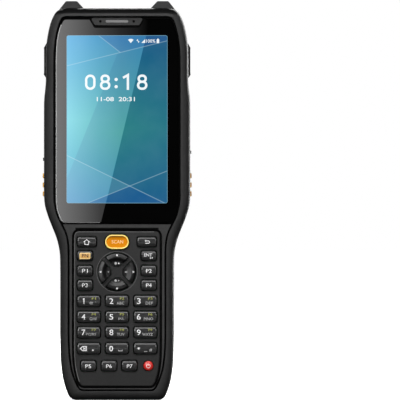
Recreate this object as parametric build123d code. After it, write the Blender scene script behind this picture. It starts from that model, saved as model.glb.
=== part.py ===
from build123d import *
import math
import os

# Handheld barcode data terminal, standing on its flat bottom end.
# Millimetres. +Z runs up the length of the device, the display and the keypad
# face -Y, the battery, spine and strap arch face +Y, +X is to the right of a
# person who looks at the display. The origin is the centre of the footprint of
# the bounding box, at the base.

# ---------------------------------------------------------------- dimensions
RIM_Y = -17.0            # foremost edge of the front frame
SPLIT_Y = -7.0           # parting plane between front frame and rear housing
WING_Y = 8.5             # rear face of the wings beside the spine and battery
SPINE_Y = 15.0           # rear face of the spine
ARCH_Y = 17.0            # rearmost edge of the strap arch
SPINE_HALF = 23.6        # half width of spine, pod and battery bay
TOP_Z = 201.8            # top end of the frame, between the horns
HORN_Z = 205.5           # top of the corner horns
BASE_SINK = 0.15         # the outline starts this far below the flat base

GLASS_FACE = -15.9       # front face of the touch glass
GLASS_BACK = -14.65
DECK_FACE = -15.7        # raised lips of the front deck
DECK_FLOOR = -13.6       # grooves and ledges of the front deck
DECK_BACK = -12.1
PANEL_FACE = -15.6       # front face of the keypad panel
KEY_FACE = -16.8         # front face of the key caps
KEY_BACK = -12.95        # rear face of the key flanges
KEY_TRAVEL = 0.8
KEY_GAP = 0.3            # clearance round each key in the panel

ACTIVE_HALF = 25.92      # display active area
ACTIVE_Z0, ACTIVE_Z1 = 101.35, 187.7

WINDOW_HALF = 15.6       # rear window plate
WINDOW_Z0, WINDOW_Z1 = 150.9, 193.4
CAMERA_X, FLASH_X, LENS_Z = 5.7, -6.1, 160.7

BAY_Z0, BAY_Z1 = 17.6, 91.0
BAY_FLOOR = 1.0
BATTERY_Y = 12.6         # rear face of the battery
SCREW_SHANK_R = 0.7
SCREW_HEAD_R = 1.25

# Outline of the device seen from the front, right half, from the base up:
# outer edge x, z and inner edge of the raised frame x, z.
OUTLINE = [
    (20.0, 0.0, 17.0, 4.6), (22.2, 0.33, 18.6, 4.8), (23.5, 0.9, 19.6, 5.4),
    (24.5, 1.8, 20.3, 6.3), (25.2, 3.05, 20.9, 7.3), (26.0, 4.95, 21.6, 8.8),
    (26.9, 7.5, 22.4, 10.8), (27.6, 10.0, 23.1, 12.8), (28.1, 12.6, 23.7, 14.9),
    (28.5, 15.2, 24.15, 17.0), (28.8, 17.8, 24.5, 19.2), (29.05, 21.0, 24.85, 22.0),
    (29.2, 25.0, 25.15, 25.6), (29.3, 30.0, 25.35, 30.4), (29.3, 40.0, 25.4, 40.0),
    (29.3, 52.0, 25.4, 52.0), (29.3, 64.0, 25.4, 64.0), (29.35, 71.0, 25.4, 72.0),
    (29.55, 75.5, 25.45, 77.5), (30.2, 79.7, 25.8, 82.0), (31.15, 83.2, 26.7, 85.6),
    (32.4, 86.6, 28.1, 88.8), (33.8, 90.0, 29.6, 91.8), (35.0, 93.0, 30.8, 94.4),
    (36.1, 96.2, 31.7, 97.2), (37.0, 99.3, 32.35, 100.2), (37.5, 102.4, 32.7, 103.2),
    (37.7, 106.0, 32.75, 106.5), (37.7, 114.0, 32.75, 114.0), (37.7, 126.0, 32.75, 126.0),
    (37.7, 138.0, 32.75, 138.0), (37.7, 149.0, 32.75, 149.0), (37.6, 154.5, 32.75, 154.5),
    (37.2, 158.8, 32.75, 158.8), (36.85, 162.0, 32.75, 162.0), (36.7, 166.0, 32.75, 166.0),
    (36.7, 172.0, 32.75, 172.0), (36.7, 178.0, 32.7, 177.0), (36.5, 182.6, 32.5, 181.2),
    (36.1, 185.8, 32.1, 184.5), (35.5, 189.3, 31.6, 187.6), (34.7, 192.7, 30.95, 190.6),
    (33.8, 195.5, 30.2, 193.1), (32.7, 197.9, 29.4, 195.2), (31.3, 199.9, 28.4, 196.8),
    (29.5, 201.1, 27.2, 197.35), (27.4, 201.65, 25.9, 197.58), (25.0, 201.8, 24.0, 197.6),
    (20.0, 201.8, 19.5, 197.6),
]
# Right half of the glass outline, from the bottom edge up.
GLASS = [
    (26.4, 91.2), (27.6, 91.35), (28.5, 92.1), (29.4, 93.6), (30.3, 95.9), (31.0, 98.6),
    (31.4, 101.8), (31.5, 106.0), (31.5, 120.0), (31.5, 140.0), (31.5, 158.0),
    (31.5, 170.0), (31.45, 176.0), (31.3, 181.0), (30.95, 184.8), (30.4, 188.2),
    (29.7, 191.0), (28.95, 193.2), (28.2, 194.8), (27.3, 195.85), (26.0, 196.2),
]
# Right half of the keypad panel outline, from the bottom edge up.
PANEL = [
    (16.8, 7.2), (18.0, 7.45), (18.9, 8.2), (19.6, 9.5), (20.2, 11.2), (20.8, 13.4),
    (21.35, 16.2), (21.75, 19.2), (22.0, 22.6), (22.1, 27.0), (22.1, 40.0), (22.1, 60.0),
    (22.1, 76.0), (22.1, 82.5), (22.03, 84.6), (21.6, 85.9), (20.8, 86.65), (19.4, 86.9),
]

# Keys: name, centre x, centre z, width, height, corner radius.
KEYS = [
    ("key_home", -15.5, 81.55, 10.2, 5.4, 1.2), ("key_back", 15.35, 81.55, 10.2, 5.4, 1.2),
    ("key_fn", -16.5, 74.4, 8.2, 5.3, 1.2), ("key_ent", 16.4, 74.4, 8.2, 5.3, 1.2),
    ("key_p1", -16.5, 66.7, 8.2, 5.6, 1.2), ("key_p2", 16.4, 66.7, 8.2, 5.6, 1.2),
    ("key_p3", -16.5, 59.3, 8.2, 5.6, 1.2), ("key_p4", 16.4, 59.3, 8.2, 5.6, 1.2),
    ("key_1", -14.5, 51.1, 12.2, 6.0, 1.3), ("key_2", 0.0, 51.1, 12.2, 6.0, 1.3),
    ("key_3", 14.6, 51.1, 12.2, 6.0, 1.3),
    ("key_4", -14.5, 43.0, 12.2, 6.0, 1.3), ("key_5", 0.0, 43.0, 12.2, 6.0, 1.3),
    ("key_6", 14.6, 43.0, 12.2, 6.0, 1.3),
    ("key_7", -14.5, 35.0, 12.2, 6.0, 1.3), ("key_8", 0.0, 35.0, 12.2, 6.0, 1.3),
    ("key_9", 14.6, 35.0, 12.2, 6.0, 1.3),
    ("key_delete", -14.5, 26.8, 12.2, 6.0, 1.3), ("key_0", 0.0, 26.8, 12.2, 6.0, 1.3),
    ("key_star", 14.6, 26.8, 12.2, 6.0, 1.3),
    ("key_p5", -14.7, 17.8, 8.2, 5.5, 1.2), ("key_p6", -4.1, 17.8, 8.2, 5.5, 1.2),
    ("key_p7", 6.4, 17.8, 8.2, 5.5, 1.2),
]
SCAN_KEY = (0.0, 81.45, 12.8, 7.9)
POWER_KEY = (16.1, 17.7, 2.5)
NAV_Z = 66.0
NAV_R = 9.7              # outer radius of the navigation wedges
NAV_ARM = 2.5            # gap between two wedges, with the web arm in it
NAV_INNER = 3.1          # distance of the inner chord from the centre

SCREWS_CASE = [(28.6, 196.4), (33.1, 162.6), (33.1, 123.3), (29.9, 90.1),
               (25.75, 62.9), (22.9, 8.4)]
SCREWS_COVER = [(18.7, 136.2), (18.7, 101.0)]


# ------------------------------------------------------------------- helpers
def xz(sketch, y0, y1):
    """Extrude a sketch whose axes are X and Z from y0 to y1."""
    return Plane.XZ.offset(-y1) * extrude(sketch, y1 - y0)


def yz(sketch, x0, x1):
    """Extrude a sketch whose axes are Y and Z from x0 to x1."""
    return Plane.YZ.offset(x0) * extrude(sketch, x1 - x0)


def box(x0, x1, y0, y1, z0, z1):
    return Pos((x0 + x1) / 2, (y0 + y1) / 2, (z0 + z1) / 2) * Box(x1 - x0, y1 - y0, z1 - z0)


def rrect(cx, cz, w, h, r, y0, y1):
    return xz(Pos(cx, cz) * RectangleRounded(w, h, r), y0, y1)


def cyl_y(cx, cz, r, y0, y1):
    return xz(Pos(cx, cz) * Circle(r), y0, y1)


def cyl_z(cx, cy, r, z0, z1):
    return Pos(cx, cy, (z0 + z1) / 2) * Cylinder(r, z1 - z0)


def poly(points):
    return make_face(Polyline(*points, close=True))


def mirror_x(shape):
    return mirror(shape, about=Plane.YZ)


def offset_side(pts, d):
    """Move the right half of an outline inwards by d."""
    out = []
    last = len(pts) - 1
    for i, (x, z) in enumerate(pts):
        if i == 0:
            tx, tz = 1.0, 0.0
        elif i == last:
            tx, tz = -1.0, 0.0
        else:
            tx, tz = pts[i + 1][0] - pts[i - 1][0], pts[i + 1][1] - pts[i - 1][1]
            n = math.hypot(tx, tz)
            tx, tz = tx / n, tz / n
        out.append((x - tz * d, z + tx * d))
    return out


def mix(t):
    """Right half of the outline, from the outer edge (0) to the frame's inner edge (1)."""
    pts = []
    for ox, oz, ix, iz in OUTLINE:
        sink = BASE_SINK if oz < 5.0 else 0.0
        pts.append((ox + (ix - ox) * t, oz - sink + (iz - oz + sink) * t))
    return pts


def wire_at(y, pts):
    """Closed symmetric wire at depth y through the right half points."""
    right = [Vector(x, y, z) for x, z in pts]
    left = [Vector(-x, y, z) for x, z in reversed(pts)]
    return Wire([
        Edge.make_line(left[-1], right[0]),
        Edge.make_spline(right, tangents=[Vector(1, 0, 0), Vector(-1, 0, 0)], scale=False),
        Edge.make_line(right[-1], left[0]),
        Edge.make_spline(left, tangents=[Vector(-1, 0, 0), Vector(1, 0, 0)], scale=False),
    ])


def prism(pts, y0, y1):
    return Part() + Solid.extrude(Face(wire_at(y0, pts)), Vector(0, y1 - y0, 0))


def loft_levels(levels, ruled=True):
    return Part() + Solid.make_loft([wire_at(y, pts) for y, pts in levels], ruled)


INNER = [(ix, iz) for _, _, ix, iz in OUTLINE]
OUTER = [(ox, oz) for ox, oz, _, _ in OUTLINE]
nodes = {}

# -------------------------------------------------------------- front frame
# Raised surround with a rounded roll-off to the sides and an inward flange
# that carries the deck and takes the case screws.
frame = loft_levels([(y, mix(t)) for y, t in (
    (SPLIT_Y, 0.0), (-9.6, 0.0), (-11.0, 0.02), (-12.4, 0.075), (-13.7, 0.165), (-14.8, 0.29),
    (-15.7, 0.44), (-16.35, 0.60), (-16.8, 0.78), (RIM_Y, 0.95))])
frame -= prism(INNER, RIM_Y - 1, DECK_BACK)
frame -= prism(offset_side(INNER, 2.4), DECK_BACK - 0.5, SPLIT_Y + 1)
frame &= box(-60, 60, -40, SPLIT_Y, 0, 300)
for sx in (1, -1):
    for x, z in SCREWS_CASE[1:]:
        frame -= cyl_y(sx * x, z, SCREW_SHANK_R + 0.03, -11.0, SPLIT_Y + 1)
nodes["front_frame"] = frame

# --------------------------------------------------------------- front deck
deck = prism(offset_side(INNER, 0.12), DECK_FLOOR, DECK_BACK)
deck += prism(offset_side(INNER, 2.6), DECK_BACK, -11.2)
lip = prism(offset_side(INNER, 1.0), DECK_FACE, DECK_FLOOR) & box(-60, 60, -30, 0, 0, 90.45)
deck += lip
deck += prism(GLASS, GLASS_BACK, DECK_FLOOR)
boss = xz(poly([(-13.6, 196.75), (-11.4, 192.9), (11.4, 192.9), (13.6, 196.75)]),
          DECK_FACE - 0.1, DECK_FLOOR)
boss = fillet(boss.edges().filter_by(Axis.Y), 0.9)
deck += boss
deck -= rrect(0, (97.6 + 190.9) / 2, 56.8, 93.3, 1.5, -16, -11)      # display window
deck -= prism(offset_side(PANEL, -1.1), -17, DECK_FLOOR)              # keypad pocket
deck -= prism(offset_side(PANEL, 0.8), -17, -11)                      # keypad window
deck -= rrect(0, 194.95, 11.9, 1.5, 0.74, -16.5, -15.0)               # earpiece slot
deck -= rrect(0, 194.95, 10.0, 1.1, 0.5, -16.5, -13.2)
deck -= rrect(0, 194.2, 9.0, 2.0, 0.5, -13.4, -11)
for sx in (1, -1):
    deck -= cyl_y(sx * 8.6, 194.9, 0.65, -16.5, -15.1)                # sensor ports
nodes["front_deck"] = deck

# -------------------------------------------------------------- touch glass
glass = prism(GLASS, GLASS_FACE + 0.4, GLASS_BACK)
glass += loft_levels([(GLASS_FACE, offset_side(GLASS, 0.45)), (GLASS_FACE + 0.4, GLASS)], True)
notch = xz(poly([(-15.1, 197.4), (-11.7, 191.5), (11.7, 191.5), (15.1, 197.4)]), -17, -12)
notch = fillet(notch.edges().filter_by(Axis.Y).sort_by(Axis.Z)[:2], 1.2)
glass -= notch
nodes["touch_glass"] = glass

# ------------------------------------------------------------ display module
disp = rrect(0, 144.3, 55.8, 92.2, 1.2, -14.6, -12.4)
disp -= box(-27.0, 27.0, -14.8, -14.45, ACTIVE_Z0 - 1.2, ACTIVE_Z1 + 1.2)
disp += box(-26.9, 26.9, -14.45, -14.3, ACTIVE_Z0 - 1.1, ACTIVE_Z1 + 1.1)
nodes["display_module"] = disp

# -------------------------------------------------------------- keypad panel
panel = prism(PANEL, PANEL_FACE + 0.4, DECK_FLOOR)
panel += loft_levels([(PANEL_FACE, offset_side(PANEL, 0.4)), (PANEL_FACE + 0.4, PANEL)], True)
for name, cx, cz, w, h, r in KEYS:
    panel -= rrect(cx, cz, w + 2 * KEY_GAP, h + 2 * KEY_GAP, r + KEY_GAP, -18, -12)
sx_, sz_, sw_, sh_ = SCAN_KEY
panel -= rrect(sx_, sz_, sw_ + 0.6, sh_ + 0.6, (sh_ + 0.6) / 2 - 0.01, -18, -12)
panel -= cyl_y(POWER_KEY[0], POWER_KEY[1], POWER_KEY[2] + KEY_GAP, -18, -12)
panel -= cyl_y(0, NAV_Z, NAV_R + 0.8, -18, PANEL_FACE + 0.35)          # nav recess


def wedge(angle, grow):
    """One navigation wedge as a sketch round (0, NAV_Z)."""
    c = (NAV_ARM / 2 - grow) * math.sqrt(2)
    inner = NAV_INNER - grow
    half = inner - c
    far = 20.0
    tri = poly([(-half, inner), (half, inner), (half + far, inner + far),
                (-half - far, inner + far)])
    s = tri & Circle(NAV_R + grow)
    return Pos(0, NAV_Z) * Rot(0, 0, angle) * s


NAV = [("key_nav_up", 0), ("key_nav_left", 90), ("key_nav_down", 180), ("key_nav_right", -90)]
for name, a in NAV:
    panel -= xz(wedge(a, 0.25), -18, -12)
for k in range(4):                                                     # ribs on the web arms
    for off in (-0.42, 0.42):
        rib = Pos(0, NAV_Z) * Rot(0, 0, 45 + 90 * k) * Pos(6.6, off) * Rectangle(4.6, 0.28)
        panel += xz(rib, PANEL_FACE + 0.02, PANEL_FACE + 0.4)
nodes["keypad_panel"] = panel


# --------------------------------------------------------------------- keys
def cap(sk_top, sk_flange, bevel, r_edges):
    body = xz(sk_top, KEY_FACE, KEY_BACK)
    front = body.faces().sort_by(Axis.Y)[0]
    body = chamfer(front.edges(), bevel)
    return body + xz(sk_flange, KEY_BACK - 0.4, KEY_BACK)


for name, cx, cz, w, h, r in KEYS:
    nodes[name] = cap(Pos(cx, cz) * RectangleRounded(w, h, r),
                      Pos(cx, cz) * RectangleRounded(w + 0.6, h + 0.6, r + 0.3), 0.5, r)
scan = cap(Pos(sx_, sz_) * RectangleRounded(sw_, sh_, sh_ / 2 - 0.01),
           Pos(sx_, sz_) * RectangleRounded(sw_ + 0.6, sh_ + 0.6, sh_ / 2 + 0.28), 0.45, 0)
scan -= rrect(sx_, sz_, sw_ - 2.3, sh_ - 2.3, (sh_ - 2.3) / 2 - 0.01, -18, KEY_FACE + 0.3)
nodes["key_scan"] = scan
px_, pz_, pr_ = POWER_KEY
nodes["key_power"] = cap(Pos(px_, pz_) * Circle(pr_), Pos(px_, pz_) * Circle(pr_ + 0.3), 0.6, 0)
dish = Pos(0, -16.4, NAV_Z) * Rot(90, 0, 0) * Cone(5.3, 7.6, 0.84)     # wide end to the front
dish += cyl_y(0, NAV_Z, 7.6, -17.5, -16.8)
for name, a in NAV:
    w = xz(wedge(a, 0.0), KEY_FACE, KEY_BACK)
    outer = [e for e in w.faces().sort_by(Axis.Y)[0].edges()
             if e.geom_type == GeomType.CIRCLE]
    w = chamfer(outer, 0.35)
    w -= dish
    lug = Pos(0, NAV_Z) * Rot(0, 0, a) * Pos(0, NAV_R - 0.5) * Rectangle(4.0, 1.6)
    w += xz(lug, KEY_BACK - 0.4, KEY_BACK)
    nodes[name] = w

# ---------------------------------------------------------------- dome board
dome = prism(offset_side(PANEL, 0.6), -11.2, -10.4)
DOMES = [(cx, cz) for _, cx, cz, _, _, _ in KEYS] + [(sx_, sz_), (px_, pz_),
        (0, NAV_Z + 7), (0, NAV_Z - 7), (7, NAV_Z), (-7, NAV_Z)]
for cx, cz in DOMES:
    dome += cyl_y(cx, cz, 1.9, -11.75, -11.2)
nodes["dome_board"] = dome

# ---------------------------------------------------------------- main board
board = xz(poly([(-20.5, 10.5), (20.5, 10.5), (20.5, 92), (30.5, 99), (30.5, 182.5),
                 (20.5, 182.5), (20.5, 184), (-20.5, 184), (-20.5, 182.5), (-30.5, 182.5),
                 (-30.5, 99), (-20.5, 92)]), -6.2, -5.2)
for x0, x1, z0, z1, h in ((-18, 2, 108, 128, 1.9), (5, 26, 108, 138, 1.5), (-26, -6, 132, 148, 2.2),
                          (-10, 8, 140, 152, 1.2), (12, 27, 142, 160, 1.9), (-27, -12, 152, 168, 1.5)):
    board += box(x0, x1, -5.2, -5.2 + h, z0, z1)
board += box(-9, 9, -10.4, -6.2, 44, 48)                               # board connector
for sx in (1, -1):
    board += box(sx * 31.9 if sx < 0 else 28.0, 31.9 if sx > 0 else -28.0, -5.2, 0.6, 107.5, 113.5)
nodes["main_board"] = board

# -------------------------------------------------------------- rear housing
REAR_LEVELS = [(y, mix(t)) for y, t in (
    (SPLIT_Y, 0.0), (2.0, 0.0), (3.8, 0.02), (5.3, 0.075), (6.5, 0.16), (7.4, 0.27), (8.1, 0.42),
    (WING_Y, 0.60))]
shell = loft_levels(REAR_LEVELS) & box(-60, 60, -40, 40, 0, 300)
rear_shell_full = shell

# raised spine with rounded long edges
spine = box(-SPINE_HALF, SPINE_HALF, 0, SPINE_Y, 143, 201.5)
spine = fillet(spine.edges().filter_by(Axis.Z).group_by(Axis.Y)[-1], 4.6)
top_edge = [e for e in spine.edges().filter_by(Axis.X)
            if abs(e.center().Y - SPINE_Y) < 0.1 and e.center().Z > 200]
spine = chamfer(top_edge, 2.2)
# pod with the strap arch at its top
pod = yz(poly([(0, 91), (12.7, 91), (15.0, 99.0), (15.3, 104), (ARCH_Y, 139.5), (ARCH_Y, 147.4),
               (15.6, 148.9), (0, 148.9)]), -SPINE_HALF, SPINE_HALF)
arch_cut = xz(poly([(17.2, 149.3), (19.6, 148.3), (21.8, 146.2), (23.2, 143.6), (23.7, 140.5),
                    (27, 140.5), (27, 152), (17.2, 152)]), SPINE_Y - 4.7, 20)
pod -= arch_cut
pod -= mirror_x(arch_cut)
pod = fillet([e for e in pod.edges() if abs(abs(e.center().X) - SPINE_HALF) < 0.01
              and 99.0 < e.center().Z < 138 and e.center().Y > 14], 1.8)
shell += spine
shell += pod

# hollow head and handle
head_cav = prism(offset_side(mix(0.0), 2.4), SPLIT_Y - 1, 6.2) & box(-60, 60, -9, 7, 98, 198.8)
for sx in (1, -1):
    head_cav -= box(min(sx * 22.2, sx * 60), max(sx * 22.2, sx * 60), -9, 9, 183.6, 210)
shell -= head_cav
shell -= box(-21.0, 21.0, 6.0, 12.3, 150, 194.0)                       # spine hollow
shell -= box(-21.0, 21.0, 0, 6.5, 150, 197.0)
handle_cav = prism(offset_side(mix(0.0), 5.3), SPLIT_Y - 1, -0.8) & box(-60, 60, -9, 0, 8, 99)
shell -= handle_cav

# battery bay, open to the rear, with an arched top edge
def arch_face(drop, half, z0):
    """Region below the pod's arched lower edge, moved down by drop."""
    right = [(12.1, 91.0 - drop), (14.4, 91.25 - drop), (16.5, 91.85 - drop), (18.6, 92.75 - drop),
             (20.5, 93.8 - drop), (half, 96.1 - drop)]
    left = [(-x, z) for x, z in reversed(right)]
    return poly([(-half, z0), (half, z0)] + right[::-1] + left[::-1])


shell -= xz(arch_face(0.0, SPINE_HALF, BAY_Z0), BAY_FLOOR, 20)
# finger recesses beside the battery
for sx in (1, -1):
    shell -= xz(Pos(sx * 25.0, 25.6) * RectangleRounded(4.4, 15.8, 0.9), 5.2, 12)
    shell -= box(min(sx * 23.0, sx * 25.5), max(sx * 23.0, sx * 25.5), 5.2, 12, 17.7, 33.5)

# corner seats for the bumpers
for sx in (1, -1):
    shell -= box(min(sx * 23.7, sx * 60), max(sx * 23.7, sx * 60), -3.5, 30, 185.2, 210)

# grille recess, its well, the strap passage under the arch
grille_out = [(-20.7, 99.4), (-20.1, 98.2), (-17.4, 95.8), (-14.6, 94.5), (-11.6, 94.0),
              (11.6, 94.0), (14.6, 94.5), (17.4, 95.8), (20.1, 98.2), (20.7, 99.4),
              (20.7, 135.5), (20.1, 138.3), (18.2, 140.4), (15.6, 141.4), (12.4, 141.7),
              (-12.4, 141.7), (-15.6, 141.4), (-18.2, 140.4), (-20.1, 138.3), (-20.7, 135.5)]
shell -= xz(poly(grille_out), 11.9, 30)
shell -= box(-16.9, 16.9, 8.0, 12.0, 98.2, 133.8)
shell -= box(-10.4, 10.4, 10.0, 14.6, 137.9, 145.4)
shell -= rrect(0, 144.1, 19.7, 2.2, 1.05, 10.2, 20)

# finger opening between the lower edge of the cover and the battery
shell -= xz(poly([(-13.6, 94.15), (13.6, 94.15), (12.0, 92.0), (12.0, 90.0), (-12.0, 90.0),
                  (-12.0, 92.0)]), 8.5, 20)

# strap slots in the wings, joined behind a bar
for sx in (1, -1):
    # a closed box inside the wing keeps the slots shut towards the inside
    shell += box(min(sx * 23.2, sx * 30.4), max(sx * 23.2, sx * 30.4), 3.0, 6.4, 108.0, 129.0)
    for x in (28.4, 25.05):
        shell -= rrect(sx * x, 118.55, 1.8, 18.5, 0.88, 4.6, 10)
    shell -= box(min(sx * 24.2, sx * 29.2), max(sx * 24.2, sx * 29.2), 4.6, 6.7, 109.6, 127.5)

# lanyard slot at the bottom end, round a bar at the rear edge of the base
shell -= rrect(0, 8.35, 21.2, 3.1, 1.5, 0.7, 12)
shell -= box(-9.8, 9.8, 2.6, 4.9, -1, 9.2)

# rear window pocket, lens wells and small locating holes
shell -= rrect(0, (WINDOW_Z0 + WINDOW_Z1) / 2, 2 * WINDOW_HALF + 0.9, WINDOW_Z1 - WINDOW_Z0 + 0.9,
               4.0, 13.7, 20)
for x in (CAMERA_X, FLASH_X):
    shell -= cyl_y(x, LENS_Z, 2.9, 10, 14.5)
for sx in (1, -1):
    shell -= cyl_y(sx * 17.4, 178.1, 0.85, 12.9, 20)

# slanted scan notch at the top of the spine: the floor falls to the rear
notch_half = 16.4
slant = yz(poly([(7.2, 201.4), (7.2, 206), (22, 206), (22, 184.3), (12.9, 194.8)]),
           -notch_half, notch_half)
notch_box = xz(Pos(0, 199.3) * RectangleRounded(2 * notch_half, 9.0, 2.3), 3, 20) + \
    box(-notch_half, notch_half, 3, 20, 199.3, 206)
shell -= (slant & notch_box)
for sx in (1, -1):                                                     # thin slits beside the notch
    shell -= xz(poly([(sx * 16.2, 199.2), (sx * 18.3, 199.75), (sx * 18.8, 200.2), (sx * 18.3, 200.55),
                      (sx * 16.2, 200.6)]), 8.4, 20)
FLOOR_A, FLOOR_B = (7.2, 201.4), (12.9, 194.8)
fl = math.hypot(FLOOR_B[0] - FLOOR_A[0], FLOOR_B[1] - FLOOR_A[1])
sd = ((FLOOR_B[0] - FLOOR_A[0]) / fl, (FLOOR_B[1] - FLOOR_A[1]) / fl)   # down the slope
nd = (-sd[1], sd[0])                                                    # outwards


def slope_box(half, s0, s1, n0, n1):
    """Box on the slanted floor: s down the slope, n outwards from it."""
    def at(s, n):
        return (FLOOR_A[0] + sd[0] * s + nd[0] * n, FLOOR_A[1] + sd[1] * s + nd[1] * n)
    return yz(poly([at(s0, n0), at(s1, n0), at(s1, n1), at(s0, n1)]), -half, half)


shell -= slope_box(12.6, 3.1, 7.5, -7.5, 0.5)
for x in (12.2, -11.7):                                                # two hooks over the window
    shell += box(x - 1.85, x + 1.85, 6.2, 11.0, 200.35, 201.5)
    shell += box(x - 1.85, x + 1.85, 10.4, 11.0, 199.2, 201.5)

# side button openings, rocker and port guards
for sx in (1, -1):
    a, b = sx * 30.0, sx * 45.0
    shell -= box(min(a, b), max(a, b), -5.25, 3.25, 102.6, 118.2)
    a, b = sx * 33.9, sx * 35.4
    shell -= box(min(a, b), max(a, b), -6.6, 4.6, 101.2, 119.6)
    guard = xz(poly([(35.0, 165.4), (36.5, 165.6), (37.85, 167.7), (37.7, 168.6), (37.7, 180.9),
                     (37.8, 181.4), (36.6, 183.6), (35.0, 184.0)]), -5.8, 4.6)
    guard = chamfer([e for e in guard.edges() if e.center().X > 36.9 and e.length < 14
                     and abs(e.center().Y + 0.6) > 5], 0.5)
    shell += guard if sx > 0 else mirror_x(guard)
# rocker opening, left
shell -= box(-40, -33.0, -4.45, 2.05, 168.75, 180.65)
shell -= box(-35.6, -33.0, -5.6, 3.2, 167.6, 181.8)
# port lid seat, right: a shallow pocket, the knuckle groove and the socket opening
shell -= box(35.85, 40, -4.55, 3.4, 168.75, 180.65)
shell -= box(34.9, 40, 2.6, 5.5, 168.75, 180.65)
shell += box(32.6, 35.3, -6.0, 5.6, 167.0, 182.4)
shell -= box(34.9, 40, 2.6, 5.5, 168.75, 180.65)
shell -= yz(Pos(-0.9, 174.7) * RectangleRounded(4.6, 10.2, 1.6), 28, 40)
shell -= cyl_z(36.75, 4.15, 0.42, 167.9, 181.5)
# little guard nubs below the rocker and the port
for sx, z in ((-1, 124.0), (1, 127.6)):
    shell += Pos(sx * 37.75, -4.6, z) * Box(0.9, 3.6, 1.6)

# posts that carry the main board
for x, z in ((18.3, 14.0), (-18.3, 14.0), (18.3, 86.0), (-18.3, 86.0)):
    shell += cyl_y(x, z, 1.8, -5.2, 0)
for x, z in ((28.5, 101.5), (-28.5, 101.5), (24.1, 180.4), (-24.1, 180.4)):
    shell += cyl_y(x, z, 1.8, -5.2, 6.6)

# screw holes: counterbore, clearance through the housing
for sx in (1, -1):
    for x, z in SCREWS_CASE[1:]:
        shell -= cyl_y(sx * x, z, 1.65, 6.9, 12)
        shell -= cyl_y(sx * x, z, SCREW_SHANK_R + 0.1, SPLIT_Y - 1, 8)
    x, z = SCREWS_CASE[0]
    shell -= cyl_y(sx * x, z, SCREW_SHANK_R + 0.03, -6.6, 0)
    for x, z in SCREWS_COVER:
        shell -= cyl_y(sx * x, z, SCREW_SHANK_R + 0.03, 7.5, 12)
nodes["rear_housing"] = shell

# ------------------------------------------------------------ corner bumpers
corner = loft_levels(REAR_LEVELS) & box(23.85, 60, -3.4, 30, 185.35, 300)
capface = xz(poly([(23.85, 185.35), (34.0, 185.35), (33.2, 190.0), (31.7, 195.0), (29.8, 199.2),
                   (28.6, 200.7), (23.85, 201.6)]), 7.5, 9.3)
capface = chamfer(capface.faces().sort_by(Axis.Y)[-1].edges(), 0.6)
corner += capface
horn = xz(poly([(17.3, TOP_Z + 0.03), (20.7, HORN_Z), (26.4, HORN_Z), (29.35, TOP_Z + 0.03)]),
          -5.8, 7.4)
horn = chamfer([e for e in horn.edges() if e.center().Z > HORN_Z - 0.2
                or (e.center().Z > TOP_Z + 0.8 and e.length < 7)], 0.35)
corner += horn
corner += xz(poly([(23.85, 199.0), (23.85, TOP_Z + 0.3), (29.1, TOP_Z + 0.3), (30.9, 200.0),
                   (29.5, 199.0)]), -3.4, 7.4)
x, z = SCREWS_CASE[0]
corner -= cyl_y(x, z, 1.65, 7.3, 12)
corner -= cyl_y(x, z, SCREW_SHANK_R + 0.1, -4, 9)
nodes["corner_bumper_right"] = corner
nodes["corner_bumper_left"] = mirror_x(corner)

# ------------------------------------------------------------------- screws
def screw(x, z, top, length):
    s = cyl_y(x, z, SCREW_HEAD_R, top - 1.1, top)
    s = chamfer(s.faces().sort_by(Axis.Y)[-1].edges(), 0.25)
    s += cyl_y(x, z, SCREW_SHANK_R, top - 1.1 - length, top - 1.1)
    sock = xz(Pos(x, z) * RegularPolygon(0.55, 6), top - 0.7, top + 0.1)
    return s - sock


screws = []
for sx in (1, -1):
    for x, z in SCREWS_CASE[1:]:
        screws.append(screw(sx * x, z, 8.0, 17.0))
    x, z = SCREWS_CASE[0]
    screws.append(screw(sx * x, z, 8.4, 13.5))
    for x, z in SCREWS_COVER:
        screws.append(screw(sx * x, z, 13.2, 4.3))
nodes["case_screws"] = Compound([s.solid() for s in screws])

# -------------------------------------------------------------- scan window
nodes["scan_window"] = slope_box(15.4, 2.45, 8.3, 0.0, 0.9)
body = yz(poly([(1.0, 184.5), (8.6, 184.5), (8.6, 189.5), (6.3, 193.8), (1.0, 193.8)]), -13.5, 13.5)
engine = slope_box(11.9, 3.5, 7.1, -7.2, -0.5) + body
nodes["scan_engine"] = engine

# ------------------------------------------------------- rear window, camera
plate = rrect(0, (WINDOW_Z0 + WINDOW_Z1) / 2, 2 * WINDOW_HALF, WINDOW_Z1 - WINDOW_Z0, 3.6, 13.7, 15.1)
plate = chamfer(plate.faces().sort_by(Axis.Y)[-1].edges(), 0.3)
for x in (CAMERA_X, FLASH_X):
    plate -= cyl_y(x, LENS_Z, 2.45, 13, 16)
nodes["rear_window_plate"] = plate
cam = box(CAMERA_X - 4.2, CAMERA_X + 4.2, 6.4, 12.2, LENS_Z - 4.2, LENS_Z + 4.2)
cam += cyl_y(CAMERA_X, LENS_Z, 2.35, 12.0, 14.9)
cam -= cyl_y(CAMERA_X, LENS_Z, 1.75, 14.4, 16)
cam += Pos(CAMERA_X, 13.6, LENS_Z) * Sphere(1.2)
nodes["camera_module"] = cam
flash = cyl_y(FLASH_X, LENS_Z, 2.35, 11.2, 14.9)
flash -= cyl_y(FLASH_X, LENS_Z, 1.9, 14.7, 16)
nodes["flash_lens"] = flash

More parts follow.
